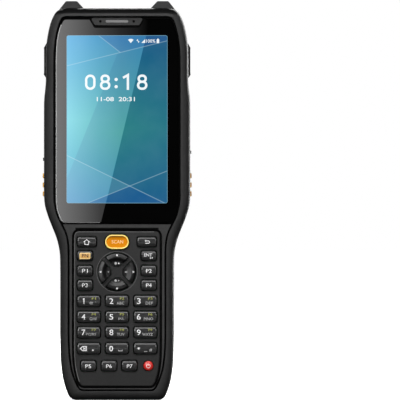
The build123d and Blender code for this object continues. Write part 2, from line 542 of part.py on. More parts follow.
# -------------------------------------------------------------- grille cover
cov = [(-20.45, 99.5), (-19.9, 98.4), (-17.3, 96.05), (-14.5, 94.75), (-11.6, 94.25),
       (11.6, 94.25), (14.5, 94.75), (17.3, 96.05), (19.9, 98.4), (20.45, 99.5),
       (20.45, 135.2), (19.6, 137.0), (18.0, 137.8), (-18.0, 137.8), (-19.6, 137.0), (-20.45, 135.2)]
cover = xz(poly(cov), 11.9, 13.5)
outer = Plane.XZ.offset(-13.55) * Pos(0, 118.8) * RectangleRounded(30.0, 10.6, 4.6)
inner = Plane.XZ.offset(-12.3) * Pos(0, 118.8) * RectangleRounded(22.6, 4.6, 1.6)
cover -= loft([outer, inner], ruled=True)
for z0, z1 in ((116.75, 117.85), (119.75, 121.05)):
    cover -= rrect(0, (z0 + z1) / 2, 21.4, z1 - z0, 0.5, 11, 15)
bar = rrect(0, 118.8, 22.4, 1.9, 0.6, 11.9, 14.3)
bar = fillet(bar.faces().sort_by(Axis.Y)[-1].edges(), 0.5)
cover += bar
holes = []
for i in range(15):
    for j in range(13):
        x, z = -16.9 + i * 2.42, 132.7 - j * 2.34
        edge = min(i, 14 - i)
        if j in (4, 8) and edge > 1:
            continue
        if j in (5, 6, 7) and edge > 0:
            continue
        holes.append(Pos(x, z) * Circle(0.6))
grid = xz(Sketch() + holes, 11, 14)
cover -= grid
cover -= box(-14.6, 14.6, 13.1, 14, 97.1, 97.6)
for sx in (1, -1):
    for x, z in SCREWS_COVER:
        cover -= cyl_y(sx * x, z, 1.65, 12.1, 15)
        cover -= cyl_y(sx * x, z, SCREW_SHANK_R + 0.1, 11, 15)
nodes["grille_cover"] = cover

# loudspeaker in the well under the upper rows of holes
spk = rrect(0, 127.9, 30, 10.6, 1.5, 8.0, 11.4)
spk -= rrect(0, 127.9, 26, 7.4, 3.5, 10.6, 12)
spk += rrect(0, 127.9, 15, 3.6, 1.7, 10.4, 11.2)
nodes["loudspeaker"] = spk

# ------------------------------------------------------------------ earpiece
nodes["earpiece_mesh"] = rrect(0, 194.95, 11.7, 1.34, 0.66, -15.6, -15.05)
nodes["earpiece"] = rrect(0, 193.1, 12.0, 3.4, 0.6, -11.15, -8.6)

# ------------------------------------------------------------------- battery
BY = BATTERY_Y
back = [(23.25, 8.4), (22.3, 9.55), (20.4, 10.6), (17.6, 11.45), (13.8, 12.1), (9.0, 12.48), (0.0, BY)]
back = back + [(-x, y) for x, y in reversed(back[:-1])]
TAPER_Z = 23.7
prof = make_face(Polyline((-23.25, 8.4), (-23.25, 1.3), (23.25, 1.3), (23.25, 8.4)) + Spline(*back))
low = [(22.75, 5.4), (21.9, 6.35), (20.1, 7.2), (17.4, 7.85), (13.6, 8.3), (8.9, 8.58), (0.0, 8.65)]
low = low + [(-x, y) for x, y in reversed(low[:-1])]
small = make_face(Polyline((-22.75, 5.4), (-22.75, 1.3), (22.75, 1.3), (22.75, 5.4)) + Spline(*low))
bat = Pos(0, 0, TAPER_Z) * extrude(prof, 97.0 - TAPER_Z)
bat += loft([Pos(0, 0, 17.9) * small, Pos(0, 0, TAPER_Z) * prof], ruled=True)
bat = bat & xz(arch_face(0.35, 24.5, 10), 0, 20)
under = Pos(0, -0.8, 10) * extrude(prof, 90)
for z in (75.65, 58.95, 42.05):                                        # grip recesses
    bat -= rrect(0, z, 39.0, 6.5, 3.2, 6, 20) - under
for x in (-8.6, 8.6):                                                  # upright recesses
    bat -= rrect(x, 30.25, 3.5, 8.7, 1.7, 11.8, 20)
    rib = rrect(x, 30.25, 1.7, 6.9, 0.8, 11.6, 12.4)
    bat += rib
bat -= box(-19.5, 19.5, 2.4, 9.4, 24.2, 84.5)                          # cell chamber
nodes["battery_case"] = bat
cell = box(-19.2, 19.2, 2.6, 9.2, 24.8, 80.5)
cell = fillet(cell.edges().filter_by(Axis.Z), 2.6)
cell += box(-15, 15, 4.0, 7.6, 80.5, 83.5)
nodes["battery_cell"] = cell
contacts = box(-9.5, 9.5, -0.8, 0.9, 80.2, 84.6)
for k in range(5):
    contacts += box(-8.3 + k * 4.15 - 0.6, -8.3 + k * 4.15 + 0.6, -2.0, -0.8, 81.4, 83.4)
nodes["rear_housing"] = nodes["rear_housing"] - box(-9.6, 9.6, -0.8, 1.1, 80.1, 84.7)
nodes["battery_contacts"] = contacts


# ------------------------------------------------------------ battery latches
def latch(sx):
    knob = rrect(27.0, 48.0, 2.9, 20.6, 1.4, 6.3, 9.3)
    knob = chamfer(knob.faces().sort_by(Axis.Y)[-1].edges(), 0.35)
    knob -= rrect(27.0, 51.85, 1.7, 12.9, 0.8, 8.5, 10)
    for k in range(6):
        knob += box(26.3, 27.7, 8.5, 8.95, 46.6 + k * 2.0, 47.4 + k * 2.0)
    plate = box(24.7, 28.0, 3.0, 6.3, 41.0, 53.0)
    tongue = box(23.65, 24.9, 3.0, 5.4, 44.5, 49.5)
    s = knob + plate + tongue
    return s if sx > 0 else mirror_x(s)


nodes["latch_right"] = latch(1)
nodes["latch_left"] = latch(-1)
seat = rrect(27.0, 48.6, 3.5, 24.3, 1.7, 6.0, 12)
seat += box(24.45, 28.25, 2.7, 6.6, 40.6, 56.0)
seat += box(23.0, 24.6, 2.7, 5.7, 44.1, 52.4)
nodes["rear_housing"] = nodes["rear_housing"] - seat - mirror_x(seat)


# ------------------------------------------------------------- side buttons
def side_button(sx):
    b = box(34.9, 37.6, -5.0, 3.0, 102.9, 117.9)
    b = fillet(b.edges().filter_by(Axis.X), 1.3)
    b = chamfer(b.faces().sort_by(Axis.X)[-1].edges(), 0.35)
    for z in (106.2, 110.75, 115.5):
        r = box(37.0, 38.4, -4.5, 2.5, z - 1.35, z + 1.35)
        r = fillet(r.faces().sort_by(Axis.X)[-1].edges(), 0.55)
        b += r
    b += box(34.2, 34.95, -6.2, 4.2, 101.6, 119.2)
    return b if sx > 0 else mirror_x(b)


nodes["side_button_right"] = side_button(1)
nodes["side_button_left"] = side_button(-1)

# ------------------------------------------------------------- volume rocker
rock = box(-37.45, -34.2, -4.15, 1.75, 169.05, 180.35)
rock = fillet(rock.edges().filter_by(Axis.X), 1.2)
rock = chamfer(rock.faces().sort_by(Axis.X)[0].edges(), 0.35)
for z in (171.6, 177.8):
    rock += Pos(-37.5, -1.2, z) * Box(0.3, 2.2, 0.7)
rock += Pos(-37.5, -1.2, 177.8) * Box(0.3, 0.7, 2.2)
rock += box(-34.9, -34.2, -5.3, 2.9, 167.9, 181.5)
nodes["volume_rocker"] = rock

# ------------------------------------------------------------------ port lid
PIN_X, PIN_Y = 36.75, 4.15
lid = box(36.1, 37.4, -4.25, 3.9, 169.05, 180.35)
lid = fillet([e for e in lid.edges().filter_by(Axis.X) if e.center().Y < 0], 1.2)
outer_edges = [e for e in lid.faces().sort_by(Axis.X)[-1].edges()]
lid = chamfer(outer_edges, 0.25)
lid += cyl_z(PIN_X, PIN_Y, 0.95, 169.05, 180.35)
plug = yz(Pos(-0.9, 174.7) * RectangleRounded(2.5, 8.2, 1.0), 35.3, 36.2)
lid += plug
for k in range(4):
    lid += box(37.3, 37.62, -3.6 + k * 0.8, -3.2 + k * 0.8, 172.2, 177.2)
lid -= cyl_z(PIN_X, PIN_Y, 0.45, 160, 190)
nodes["port_cover"] = lid
nodes["port_cover_pin"] = cyl_z(PIN_X, PIN_Y, 0.4, 167.95, 181.45)
sock = yz(Pos(-0.9, 174.7) * RectangleRounded(3.3, 9.0, 1.6), 28.2, 35.1)
sock -= yz(Pos(-0.9, 174.7) * RectangleRounded(2.7, 8.4, 1.3), 28.9, 36)
sock += yz(Pos(-0.9, 174.7) * Rectangle(0.7, 6.6), 28.5, 34.2)
nodes["usb_socket"] = sock

# -------------------------------------------------------------------- export
os.makedirs("parts", exist_ok=True)
for name, shape in nodes.items():
    shape.label = name
    export_step(shape, os.path.join("parts", name + ".step"))
print(len(nodes), "nodes")
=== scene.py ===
import math
import random

import bpy
import bmesh
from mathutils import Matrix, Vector


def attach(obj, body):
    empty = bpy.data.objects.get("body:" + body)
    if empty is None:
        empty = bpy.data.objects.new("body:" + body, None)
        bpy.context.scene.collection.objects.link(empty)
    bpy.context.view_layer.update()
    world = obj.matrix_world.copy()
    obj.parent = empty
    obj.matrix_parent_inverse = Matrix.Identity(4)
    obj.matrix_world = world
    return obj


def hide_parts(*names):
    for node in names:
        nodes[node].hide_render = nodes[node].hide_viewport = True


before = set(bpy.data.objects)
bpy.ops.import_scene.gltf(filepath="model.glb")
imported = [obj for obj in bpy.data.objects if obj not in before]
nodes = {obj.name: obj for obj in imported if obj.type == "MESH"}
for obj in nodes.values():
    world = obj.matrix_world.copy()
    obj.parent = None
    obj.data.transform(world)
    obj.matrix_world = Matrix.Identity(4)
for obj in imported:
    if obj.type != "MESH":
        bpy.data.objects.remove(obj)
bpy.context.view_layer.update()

random.seed(7)
MM = 0.001
scene = bpy.context.scene
scene.view_settings.view_transform = "Standard"
scene.view_settings.look = "None"
scene.view_settings.exposure = 0.0
scene.view_settings.gamma = 1.0


# ================================================================ materials
def lin(c):
    c = c / 255.0
    return c / 12.92 if c <= 0.04045 else ((c + 0.055) / 1.055) ** 2.4


def rgb(r, g, b):
    """Screen colour, 0 to 255, as a linear colour."""
    return (lin(r), lin(g), lin(b), 1.0)


class Net:
    """A short way to write a node tree."""

    def __init__(self, name):
        self.mat = bpy.data.materials.new(name)
        self.mat.use_nodes = True
        self.t = self.mat.node_tree
        self.bsdf = self.t.nodes["Principled BSDF"]
        self.coord = self.t.nodes.new("ShaderNodeTexCoord")

    def new(self, kind, **props):
        n = self.t.nodes.new(kind)
        for k, v in props.items():
            setattr(n, k, v)
        return n

    def link(self, a, b):
        self.t.links.new(a, b)

    def noise(self, scale, detail=3.0, rough=0.55, stretch=None, distortion=0.0):
        n = self.new("ShaderNodeTexNoise")
        n.inputs["Scale"].default_value = scale
        n.inputs["Detail"].default_value = detail
        n.inputs["Roughness"].default_value = rough
        n.inputs["Distortion"].default_value = distortion
        if stretch:
            m = self.new("ShaderNodeMapping")
            m.inputs["Scale"].default_value = stretch
            self.link(self.coord.outputs["Object"], m.inputs["Vector"])
            self.link(m.outputs["Vector"], n.inputs["Vector"])
        else:
            self.link(self.coord.outputs["Object"], n.inputs["Vector"])
        return n.outputs["Fac"]

    def maprange(self, src, a, b, c, d, smooth=False):
        n = self.new("ShaderNodeMapRange")
        n.interpolation_type = "SMOOTHSTEP" if smooth else "LINEAR"
        n.clamp = True
        n.inputs["From Min"].default_value = a
        n.inputs["From Max"].default_value = b
        n.inputs["To Min"].default_value = c
        n.inputs["To Max"].default_value = d
        self.link(src, n.inputs["Value"])
        return n.outputs["Result"]

    def mix(self, fac, a, b, blend="MIX"):
        n = self.new("ShaderNodeMix", data_type="RGBA", blend_type=blend)
        sockets = [s for s in n.inputs if s.enabled]
        f, ca, cb = sockets[0], sockets[1], sockets[2]
        for s, v in ((f, fac), (ca, a), (cb, b)):
            if isinstance(v, bpy.types.NodeSocket):
                self.link(v, s)
            else:
                s.default_value = v
        return [s for s in n.outputs if s.enabled][0]

    def math(self, op, a, b=None, c=None):
        n = self.new("ShaderNodeMath", operation=op)
        for i, v in enumerate((a, b, c)):
            if v is None:
                continue
            if isinstance(v, bpy.types.NodeSocket):
                self.link(v, n.inputs[i])
            else:
                n.inputs[i].default_value = v
        return n.outputs[0]

    def xyz(self):
        n = self.new("ShaderNodeSeparateXYZ")
        self.link(self.coord.outputs["Object"], n.inputs[0])
        return n.outputs[0], n.outputs[1], n.outputs[2]

    def ramp(self, fac, stops):
        n = self.new("ShaderNodeValToRGB")
        el = n.color_ramp.elements
        while len(el) > len(stops):
            el.remove(el[-1])
        while len(el) < len(stops):
            el.new(1.0)
        for e, (p, c) in zip(el, stops):
            e.position = p
            e.color = c
        self.link(fac, n.inputs["Fac"])
        return n.outputs["Color"]

    def bump(self, height, strength, distance, normal=None):
        n = self.new("ShaderNodeBump")
        n.inputs["Strength"].default_value = strength
        n.inputs["Distance"].default_value = distance
        self.link(height, n.inputs["Height"])
        if normal is not None:
            self.link(normal, n.inputs["Normal"])
        return n.outputs["Normal"]

    def bevel(self, radius, samples=4):
        n = self.new("ShaderNodeBevel")
        n.samples = samples
        n.inputs["Radius"].default_value = radius
        return n.outputs["Normal"]


def plastic(name, color, rough=0.45, grain=0.25, grain_scale=2600, vary=0.12, spec=0.5,
            bevel=0.00022, coat=0.0, coat_rough=0.2, extra=None):
    """Moulded plastic: spark-eroded grain, faint shade variation, softened edges."""
    m = Net(name)
    b = m.bsdf
    soft = m.noise(90, 3.0)
    fine = m.noise(grain_scale, 2.0, 0.6)
    speck = m.noise(grain_scale * 0.35, 4.0, 0.7)
    dark = tuple(c * (1 - vary) for c in color[:3]) + (1.0,)
    light = tuple(min(1.0, c * (1 + vary)) for c in color[:3]) + (1.0,)
    col = m.mix(m.maprange(soft, 0.3, 0.7, 0.0, 1.0), dark, light)
    col = m.mix(m.maprange(speck, 0.35, 0.75, 0.0, 0.35), col, tuple(min(1.0, c * 1.5 + 0.004) for c in color[:3]) + (1.0,))
    if extra:
        col = extra(m, col)
    m.link(col, b.inputs["Base Color"])
    m.link(m.maprange(speck, 0.3, 0.7, rough - 0.05, rough + 0.07), b.inputs["Roughness"])
    b.inputs["Specular IOR Level"].default_value = spec
    b.inputs["Coat Weight"].default_value = coat
    b.inputs["Coat Roughness"].default_value = coat_rough
    base = m.bevel(bevel) if bevel else None
    m.link(m.bump(fine, grain, 0.00003, base), b.inputs["Normal"])
    return m.mat


def put(mat, *names):
    for n in names:
        o = nodes[n]
        if not o.material_slots:
            o.data.materials.append(mat)
        for s in o.material_slots:
            s.material = mat


def inbox(m, x0, x1, y0, y1, z0, z1, soft=0.00012, ax=False, axes=None):
    """1 inside the box (millimetres), 0 outside; ax measures X from the middle plane both ways."""
    x, y, z = axes or m.xyz()
    if ax:
        x = m.math("ABSOLUTE", x)
    out = None
    for c, a, b in ((x, x0, x1), (y, y0, y1), (z, z0, z1)):
        for lim, sign in ((a, 1), (b, -1)):
            if lim is None:
                continue
            v = lim * MM
            r = m.maprange(c, v - soft, v + soft, 0.0 if sign > 0 else 1.0, 1.0 if sign > 0 else 0.0)
            out = r if out is None else m.math("MULTIPLY", out, r)
    return out


BLACK = rgb(5, 5, 5)


def sweep(m, axis, base, stops, gain=1.3):
    """Painted shade drifting along an axis: stops of (millimetres, grey to aim at) as a factor
    on the base grey."""
    lo, hi = stops[0][0], stops[-1][0]
    out = []
    for pos, grey in stops:
        g = min(1.0, max(0.0, lin(grey) - 0.0035) / (gain * lin(base)))
        out.append(((pos - lo) / (hi - lo), (g, g, g, 1.0)))
    return m.ramp(m.maprange(axis, lo * MM, hi * MM, 0.0, 1.0), out)


def radial(m, x, z, cx, cz):
    """Distance from an axis along Y through (cx, cz) in millimetres."""
    dx = m.math("SUBTRACT", x, cx * MM)
    dz = m.math("SUBTRACT", z, cz * MM)
    return m.math("SQRT", m.math("ADD", m.math("MULTIPLY", dx, dx), m.math("MULTIPLY", dz, dz)))


def frame_extra(m, col):
    x, y, z = m.xyz()
    # painted shade: the top rail outside its crest is darker, so is the last strip at the sides
    top = m.math("MULTIPLY", m.maprange(z, 0.1975, 0.1996, 0.0, 1.0, True), m.maprange(y, -0.0168, -0.0164, 0.0, 1.0))
    col = m.mix(m.math("MULTIPLY", top, 0.94), col, BLACK)
    return m.mix(m.maprange(y, -0.0138, -0.0112, 0.0, 0.8, True), col, BLACK)


M_FRAME = plastic("frame_plastic", rgb(52, 52, 52), rough=0.5, grain=0.3, spec=0.07, bevel=0.0004,
                  extra=frame_extra)

HOUSING_SCREWS = [(33.1, 162.6), (33.1, 123.3), (29.9, 90.1), (25.75, 62.9), (22.9, 8.4)]


def housing_extra(m, col):
    ax = m.xyz()
    x, y, z = ax
    # painted shade: slots, latch seats, the seam beside the spine, the crease above the pod, recesses, the screw
    # counterbores and a small hole are painted near-black
    dark = None

    def add(v):
        nonlocal dark
        dark = v if dark is None else m.math("MAXIMUM", dark, v)

    add(inbox(m, None, 29.5, None, 8.15, 109.0, 128.0, ax=True, axes=ax))       # strap slots
    add(inbox(m, None, 10.8, None, 8.0, 6.6, 10.1, ax=True, axes=ax))           # lanyard slot
    add(inbox(m, None, 10.1, None, 16.3, 142.9, 145.35, ax=True, axes=ax))      # slot under the arch
    add(inbox(m, None, 20.9, None, 12.1, 93.7, 142.2, ax=True, axes=ax))        # behind the cover
    add(inbox(m, 25.1, 28.9, None, 7.9, 36.0, 61.2, ax=True, axes=ax))          # latch seats
    add(inbox(m, 23.45, 24.0, 7.0, 9.4, 96.0, 186.0, ax=True, axes=ax))         # seam beside the spine
    add(inbox(m, None, 17.2, 14.9, None, 148.5, 149.2, ax=True, axes=ax))       # crease above the pod
    add(inbox(m, None, 23.7, None, 8.0, 17.5, 96.0, ax=True, axes=ax))          # battery bay
    add(inbox(m, None, 12.5, None, 12.9, 89.9, 94.2, ax=True, axes=ax))         # finger opening
    add(inbox(m, None, 16.1, None, 14.6, 150.4, 193.9, ax=True, axes=ax))       # window pocket
    absx = m.math("ABSOLUTE", x)
    for sx, sz in HOUSING_SCREWS:
        dx = m.math("SUBTRACT", absx, sx * MM)
        dz = m.math("SUBTRACT", z, sz * MM)
        d = m.math("SQRT", m.math("ADD", m.math("MULTIPLY", dx, dx), m.math("MULTIPLY", dz, dz)))
        add(m.maprange(d, 0.00182, 0.00194, 1.0, 0.0))
    dx = m.math("SUBTRACT", absx, 17.4 * MM)
    dz = m.math("SUBTRACT", z, 178.1 * MM)
    d = m.math("SQRT", m.math("ADD", m.math("MULTIPLY", dx, dx), m.math("MULTIPLY", dz, dz)))
    add(m.maprange(d, 0.0011, 0.0012, 1.0, 0.0))
    # painted shade and light drift over the back: wings, spine, pod and base; the bottom lip is painted lighter
    side = m.mix(1.0, col, sweep(m, x, 96, [(-38, 42), (38, 38)]), "MULTIPLY")
    wings = m.mix(1.0, col, sweep(m, x, 96, [(-37.7, 44), (-35, 52), (-31, 42), (-27, 24), (-24, 18),
                                             (24, 62), (28, 58), (31, 36), (33, 20), (37.7, 28)]), "MULTIPLY")
    spine = m.mix(1.0, col, sweep(m, x, 96, [(-23.6, 96), (-22.0, 96), (-20.5, 62), (-17, 58), (0, 72), (14, 96),
                                             (17, 104), (20, 80), (22.4, 72), (22.9, 100), (23.6, 84)]), "MULTIPLY")
    pod = m.mix(1.0, col, sweep(m, x, 96, [(-23.6, 16), (-21, 30), (-10, 22), (6, 25), (12, 64), (17, 70),
                                           (20, 46), (23.6, 28)]), "MULTIPLY")
    low_pod = m.mix(1.0, col, sweep(m, x, 96, [(-23.6, 26), (-19, 48), (-13, 40), (0, 40), (12, 46),
                                               (17, 68), (23.6, 34)]), "MULTIPLY")
    base = m.mix(1.0, col, sweep(m, x, 96, [(-27, 24), (-14, 26), (0, 44), (12, 62), (27, 72)]), "MULTIPLY")
    lip = m.mix(1.0, col, sweep(m, x, 96, [(-23, 30), (-19, 60), (0, 66), (27, 72)]), "MULTIPLY")
    base = m.mix(m.maprange(z, 0.0058, 0.0042, 0.0, 1.0), base, lip)
    col = m.mix(m.maprange(y, 0.003, 0.006, 0.0, 1.0), side, wings)
    inner = m.maprange(absx, 0.0235, 0.0237, 1.0, 0.0)
    # the spine shows past the rounded corners of the pod
    past = m.maprange(m.math("ADD", z, m.math("MULTIPLY", absx, 1.45)), 0.1772, 0.1776, 0.0, 1.0)
    above = m.math("MAXIMUM", m.maprange(z, 0.1480, 0.1486, 0.0, 1.0), past)
    col = m.mix(m.math("MULTIPLY", inner, above), col, spine)
    pz = m.math("MULTIPLY", m.math("SUBTRACT", 1.0, above), m.maprange(z, 0.090, 0.0905, 0.0, 1.0))
    # painted highlight along the pod's crest
    crest = m.mix(1.0, col, sweep(m, x, 96, [(-23.6, 80), (0, 84), (23.6, 68)]), "MULTIPLY")
    pod = m.mix(m.maprange(z, 0.1456, 0.1474, 0.0, 0.85, True), pod, crest)
    col = m.mix(m.math("MULTIPLY", inner, pz), col, m.mix(m.maprange(z, 0.108, 0.136, 0.0, 1.0), low_pod, pod))
    bz = m.math("MULTIPLY", m.maprange(z, 0.0170, 0.0176, 1.0, 0.0), m.maprange(y, 0.003, 0.006, 0.0, 1.0))
    col = m.mix(bz, col, base)
    # painted highlight: a lighter band along the top edge
    col = m.mix(inbox(m, None, 17.0, 5.0, None, 200.5, 201.3, ax=True, axes=ax), col, rgb(92, 92, 92))
    return m.mix(dark, col, rgb(2, 2, 2))


M_HOUSING = plastic("housing_plastic", rgb(96, 96, 96), rough=0.5, grain=0.4, spec=0.045, bevel=0.0004,
                    extra=housing_extra)


def corner_extra(m, col):
    x, y, z = m.xyz()
    # painted shade drifting across the bumper
    back = m.mix(1.0, col, sweep(m, x, 120, [(-36, 44), (-32, 66), (-28, 84), (-24, 62), (24, 124), (27, 108),
                                            (30, 80), (33, 52), (36, 32)]), "MULTIPLY")
    front = m.mix(1.0, col, sweep(m, x, 120, [(-36, 62), (36, 62)]), "MULTIPLY")
    col = m.mix(m.maprange(y, 0.003, 0.006, 0.0, 1.0), front, back)
    # painted shade: the screw counterbore is painted near-black
    d = radial(m, m.math("ABSOLUTE", x), z, 28.6, 196.4)
    return m.mix(m.math("MULTIPLY", m.maprange(d, 0.0020, 0.0022, 1.0, 0.0), m.maprange(y, 0.004, 0.005, 0, 1)),
                 col, BLACK)


M_CORNER = plastic("corner_plastic", rgb(120, 120, 120), rough=0.5, grain=0.35, spec=0.06, bevel=0.0004,
                   extra=corner_extra)

def deck_extra(m, col):
    x, y, z = m.xyz()
    # painted shade: surfaces behind the deck face and the groove above the panel are painted near-black
    low = m.maprange(y, -0.0154, -0.0151, 0.0, 1.0)
    gap = inbox(m, None, 21.4, None, None, 86.6, 88.75, ax=True, axes=(x, y, z))
    return m.mix(m.math("MAXIMUM", low, gap), col, rgb(3, 3, 3))


def panel_extra(m, col):
    x, y, z = m.xyz()
    # painted shade: darker towards the bottom, and the floors behind the face are painted near-black
    shade = m.maprange(z, 0.010, 0.088, 0.0, 1.0)
    col = m.mix(shade, m.mix(0.45, col, rgb(24, 24, 24)), col)
    low = m.maprange(y, -0.01505, -0.0148, 0.0, 1.0)
    return m.mix(low, col, rgb(4, 4, 4))


M_DECK = plastic("deck_plastic", rgb(56, 56, 56), rough=0.55, grain=0.2, spec=0.05, bevel=0.0002,
                 extra=deck_extra)
M_PANEL = plastic("panel_plastic", rgb(46, 46, 46), rough=0.5, grain=0.3, spec=0.08, bevel=0.0002,
                  extra=panel_extra)
M_KEY = plastic("key_plastic", rgb(9, 9, 9), rough=0.32, grain=0.06, spec=0.3, bevel=None,
                coat=1.0, coat_rough=0.1)


def nav_extra(m, col):
    # measured from the middle of the pad, where the wedges have their origin
    x, y, z = m.xyz()
    r = radial(m, x, z, 0.0, 0.0)
    rr = m.math("MAXIMUM", r, 0.001)
    toward = m.math("DIVIDE", m.math("SUBTRACT", z, x), rr)
    aside = m.maprange(m.math("DIVIDE", m.math("ABSOLUTE", x), rr), 0.3, 0.8, 0.0, 1.0)
    ring = m.math("MULTIPLY", m.maprange(r, 0.0077, 0.0080, 0.0, 1.0), m.maprange(r, 0.0093, 0.0096, 1.0, 0.0))
    slope = m.math("MULTIPLY", m.maprange(r, 0.0048, 0.0058, 0.0, 1.0), m.maprange(r, 0.0073, 0.0077, 1.0, 0.0))
    ring = m.math("MULTIPLY", ring, m.maprange(toward, 0.2, 0.8, 0.0, 1.0))
    slope = m.math("MULTIPLY", slope, m.maprange(toward, -0.8, -0.2, 1.0, 0.0))
    # painted light and shade: the wedge is darkened, its outer ring painted lighter towards the upper left and its
    # inner slope painted lighter towards the lower right
    col = m.mix(0.85, col, rgb(8, 8, 8))
    col = m.mix(ring, col, m.mix(aside, rgb(38, 38, 38), rgb(72, 72, 72)))
    return m.mix(slope, col, m.mix(aside, rgb(26, 26, 26), rgb(76, 76, 76)))


M_NAVKEY = plastic("nav_key_plastic", rgb(34, 34, 34), rough=0.34, grain=0.08, spec=0.22, bevel=None,
                   extra=nav_extra)
M_DARK = plastic("dark_plastic", rgb(24, 24, 24), rough=0.45, grain=0.3, spec=0.4, bevel=0.0002)


def battery_extra(m, col):
    ax = m.xyz()
    x, y, z = ax
    # painted shade: a drift across the battery, darker towards its top, with a painted shadow just under the pod
    body = m.mix(1.0, col, sweep(m, x, 84, [(-23.3, 32), (-21.5, 32), (-13, 25), (-10.8, 42), (-8.8, 52),
                                            (7, 54), (11, 64), (14.5, 80), (18, 70), (20.5, 44), (23.3, 38)]), "MULTIPLY")
    body = m.mix(1.0, body, m.mix(m.maprange(z, 0.062, 0.090, 0.0, 1.0), (1, 1, 1, 1), (0.55, 0.55, 0.55, 1)),
                 "MULTIPLY")
    under = m.math("MULTIPLY", m.maprange(z, 0.0868, 0.0886, 0.0, 0.62, True),
                   m.maprange(m.math("ABSOLUTE", x), 0.0140, 0.0175, 1.0, 0.0, True))
    body = m.mix(under, body, rgb(6, 6, 6))
    low = m.mix(1.0, col, sweep(m, x, 84, [(-23.3, 34), (23.3, 44)]), "MULTIPLY")
    col = m.mix(m.maprange(z, 0.0234, 0.0240, 1.0, 0.0), body, low)
    # the recess round the ribs is painted near-black as shade
    return m.mix(inbox(m, 6.8, 10.4, None, 12.12, 25.8, 34.7, ax=True, axes=ax), col, rgb(2, 2, 2))


M_BATTERY = plastic("battery_plastic", rgb(84, 84, 84), rough=0.46, grain=0.35, spec=0.06, bevel=0.0004,
                    extra=battery_extra)


def grille_extra(m, col):
    ax = m.xyz()
    x, y, z = ax
    # painted shade: darker towards the top under the arch, with painted highlight and shade along the bar and across
    # the dish
    body = m.mix(1.0, col, sweep(m, z, 110, [(93.5, 78), (96, 66), (97.8, 74), (99.6, 48), (104, 38), (112, 42), (118, 54), (124, 42),
                                            (131, 26), (134.5, 14), (138, 9)]), "MULTIPLY")
    pad = inbox(m, None, 11.6, 13.62, None, 117.9, 119.7, ax=True, axes=ax)
    barc = m.mix(1.0, col, sweep(m, x, 110, [(-11.4, 14), (-9, 34), (-4, 66), (2, 96), (7, 108), (9.5, 72), (11.4, 22)]), "MULTIPLY")
    body = m.mix(pad, body, barc)
    dish = inbox(m, None, 15.0, None, 13.4, 113.6, 124.0, ax=True, axes=ax)
    end = m.mix(1.0, col, sweep(m, x, 110, [(-15, 56), (-13, 58), (-11.5, 30), (11.0, 24), (13.2, 90), (15, 62)]), "MULTIPLY")
    off = m.math("ABSOLUTE", m.math("SUBTRACT", z, 0.1188))
    dish = m.math("MULTIPLY", dish, m.maprange(off, 0.0014, 0.0050, 1.0, 0.25, True))
    body = m.mix(dish, body, end)
    # painted highlight beside the bar
    spot = m.mix(1.0, col, sweep(m, x, 110, [(-15, 82), (15, 82)]), "MULTIPLY")
    body = m.mix(m.maprange(radial(m, x, z, 14.7, 118.2), 0.0008, 0.0038, 0.85, 0.0, True), body, spot)
    # painted shade: the well behind the cover, two grooves and the screw counterbores are painted near-black
    black = inbox(m, None, 16.9, None, 12.05, None, None, ax=True, axes=ax)
    line = m.math("MAXIMUM", inbox(m, None, 14.8, None, None, 97.0, 97.7, ax=True, axes=ax),
                  inbox(m, None, 11.8, None, None, 94.4, 94.95, ax=True, axes=ax))
    absx = m.math("ABSOLUTE", x)
    for sz in (136.2, 101.0):
        line = m.math("MAXIMUM", line, m.maprange(radial(m, absx, z, 18.7, sz), 0.00182, 0.00194, 1.0, 0.0))
    return m.mix(m.math("MAXIMUM", black, line), body, rgb(2, 2, 2))


M_GRILLE = plastic("grille_plastic", rgb(110, 110, 110), rough=0.5, grain=0.3, spec=0.05, bevel=0.00015,
                   extra=grille_extra)


def latch_extra(m, col):
    ax = m.xyz()
    x, y, z = ax
    hollow = inbox(m, 25.85, 28.15, None, None, 45.2, 57.9, soft=0.00006, ax=True, axes=ax)
    # darker grey above 44.6 mm; the knob's hollow and the seat below it are painted near-black as shade
    col = m.mix(m.maprange(z, 0.0446, 0.0452, 0.0, 1.0), col, rgb(24, 24, 24))
    col = m.mix(hollow, col, rgb(1, 1, 1))
    return m.mix(m.maprange(y, 0.0078, 0.0082, 1.0, 0.0), col, rgb(2, 2, 2))


M_LATCH = plastic("latch_plastic", rgb(58, 58, 58), rough=0.42, grain=0.3, spec=0.0, bevel=0.0002,
                  extra=latch_extra)
M_BOARD = plastic("board_green", rgb(20, 74, 42), rough=0.4, grain=0.3, grain_scale=900, vary=0.3, bevel=None)


def ribs_extra(m, col):
    x, y, z = m.xyz()
    ax = m.math("ABSOLUTE", x)
    fac = m.maprange(ax, 0.03762, 0.03768, 0.0, 1.0)
    return m.mix(fac, col, rgb(232, 172, 72))


M_SIDE = plastic("side_button_plastic", rgb(40, 40, 40), rough=0.4, grain=0.2, bevel=0.00025, extra=ribs_extra)


def glass_mat(name, color, rough=0.03, spec=0.5, coat=1.0):
    m = Net(name)
    b = m.bsdf
    smudge = m.noise(35, 5.0, 0.6)
    col = m.mix(m.maprange(smudge, 0.3, 0.8, 0.0, 1.0), color,
                tuple(c * 1.35 + 0.0004 for c in color[:3]) + (1.0,))
    m.link(col, b.inputs["Base Color"])
    if rough:
        m.link(m.maprange(smudge, 0.35, 0.8, rough, rough * 1.4), b.inputs["Roughness"])
    else:
        b.inputs["Roughness"].default_value = 0.0
    b.inputs["Specular IOR Level"].default_value = spec
    b.inputs["Coat Weight"].default_value = coat
    b.inputs["Coat Roughness"].default_value = 0.02
    return m.mat


M_GLASS = glass_mat("glass_black", rgb(2, 2, 2), rough=0.0, spec=0.5, coat=0.0)


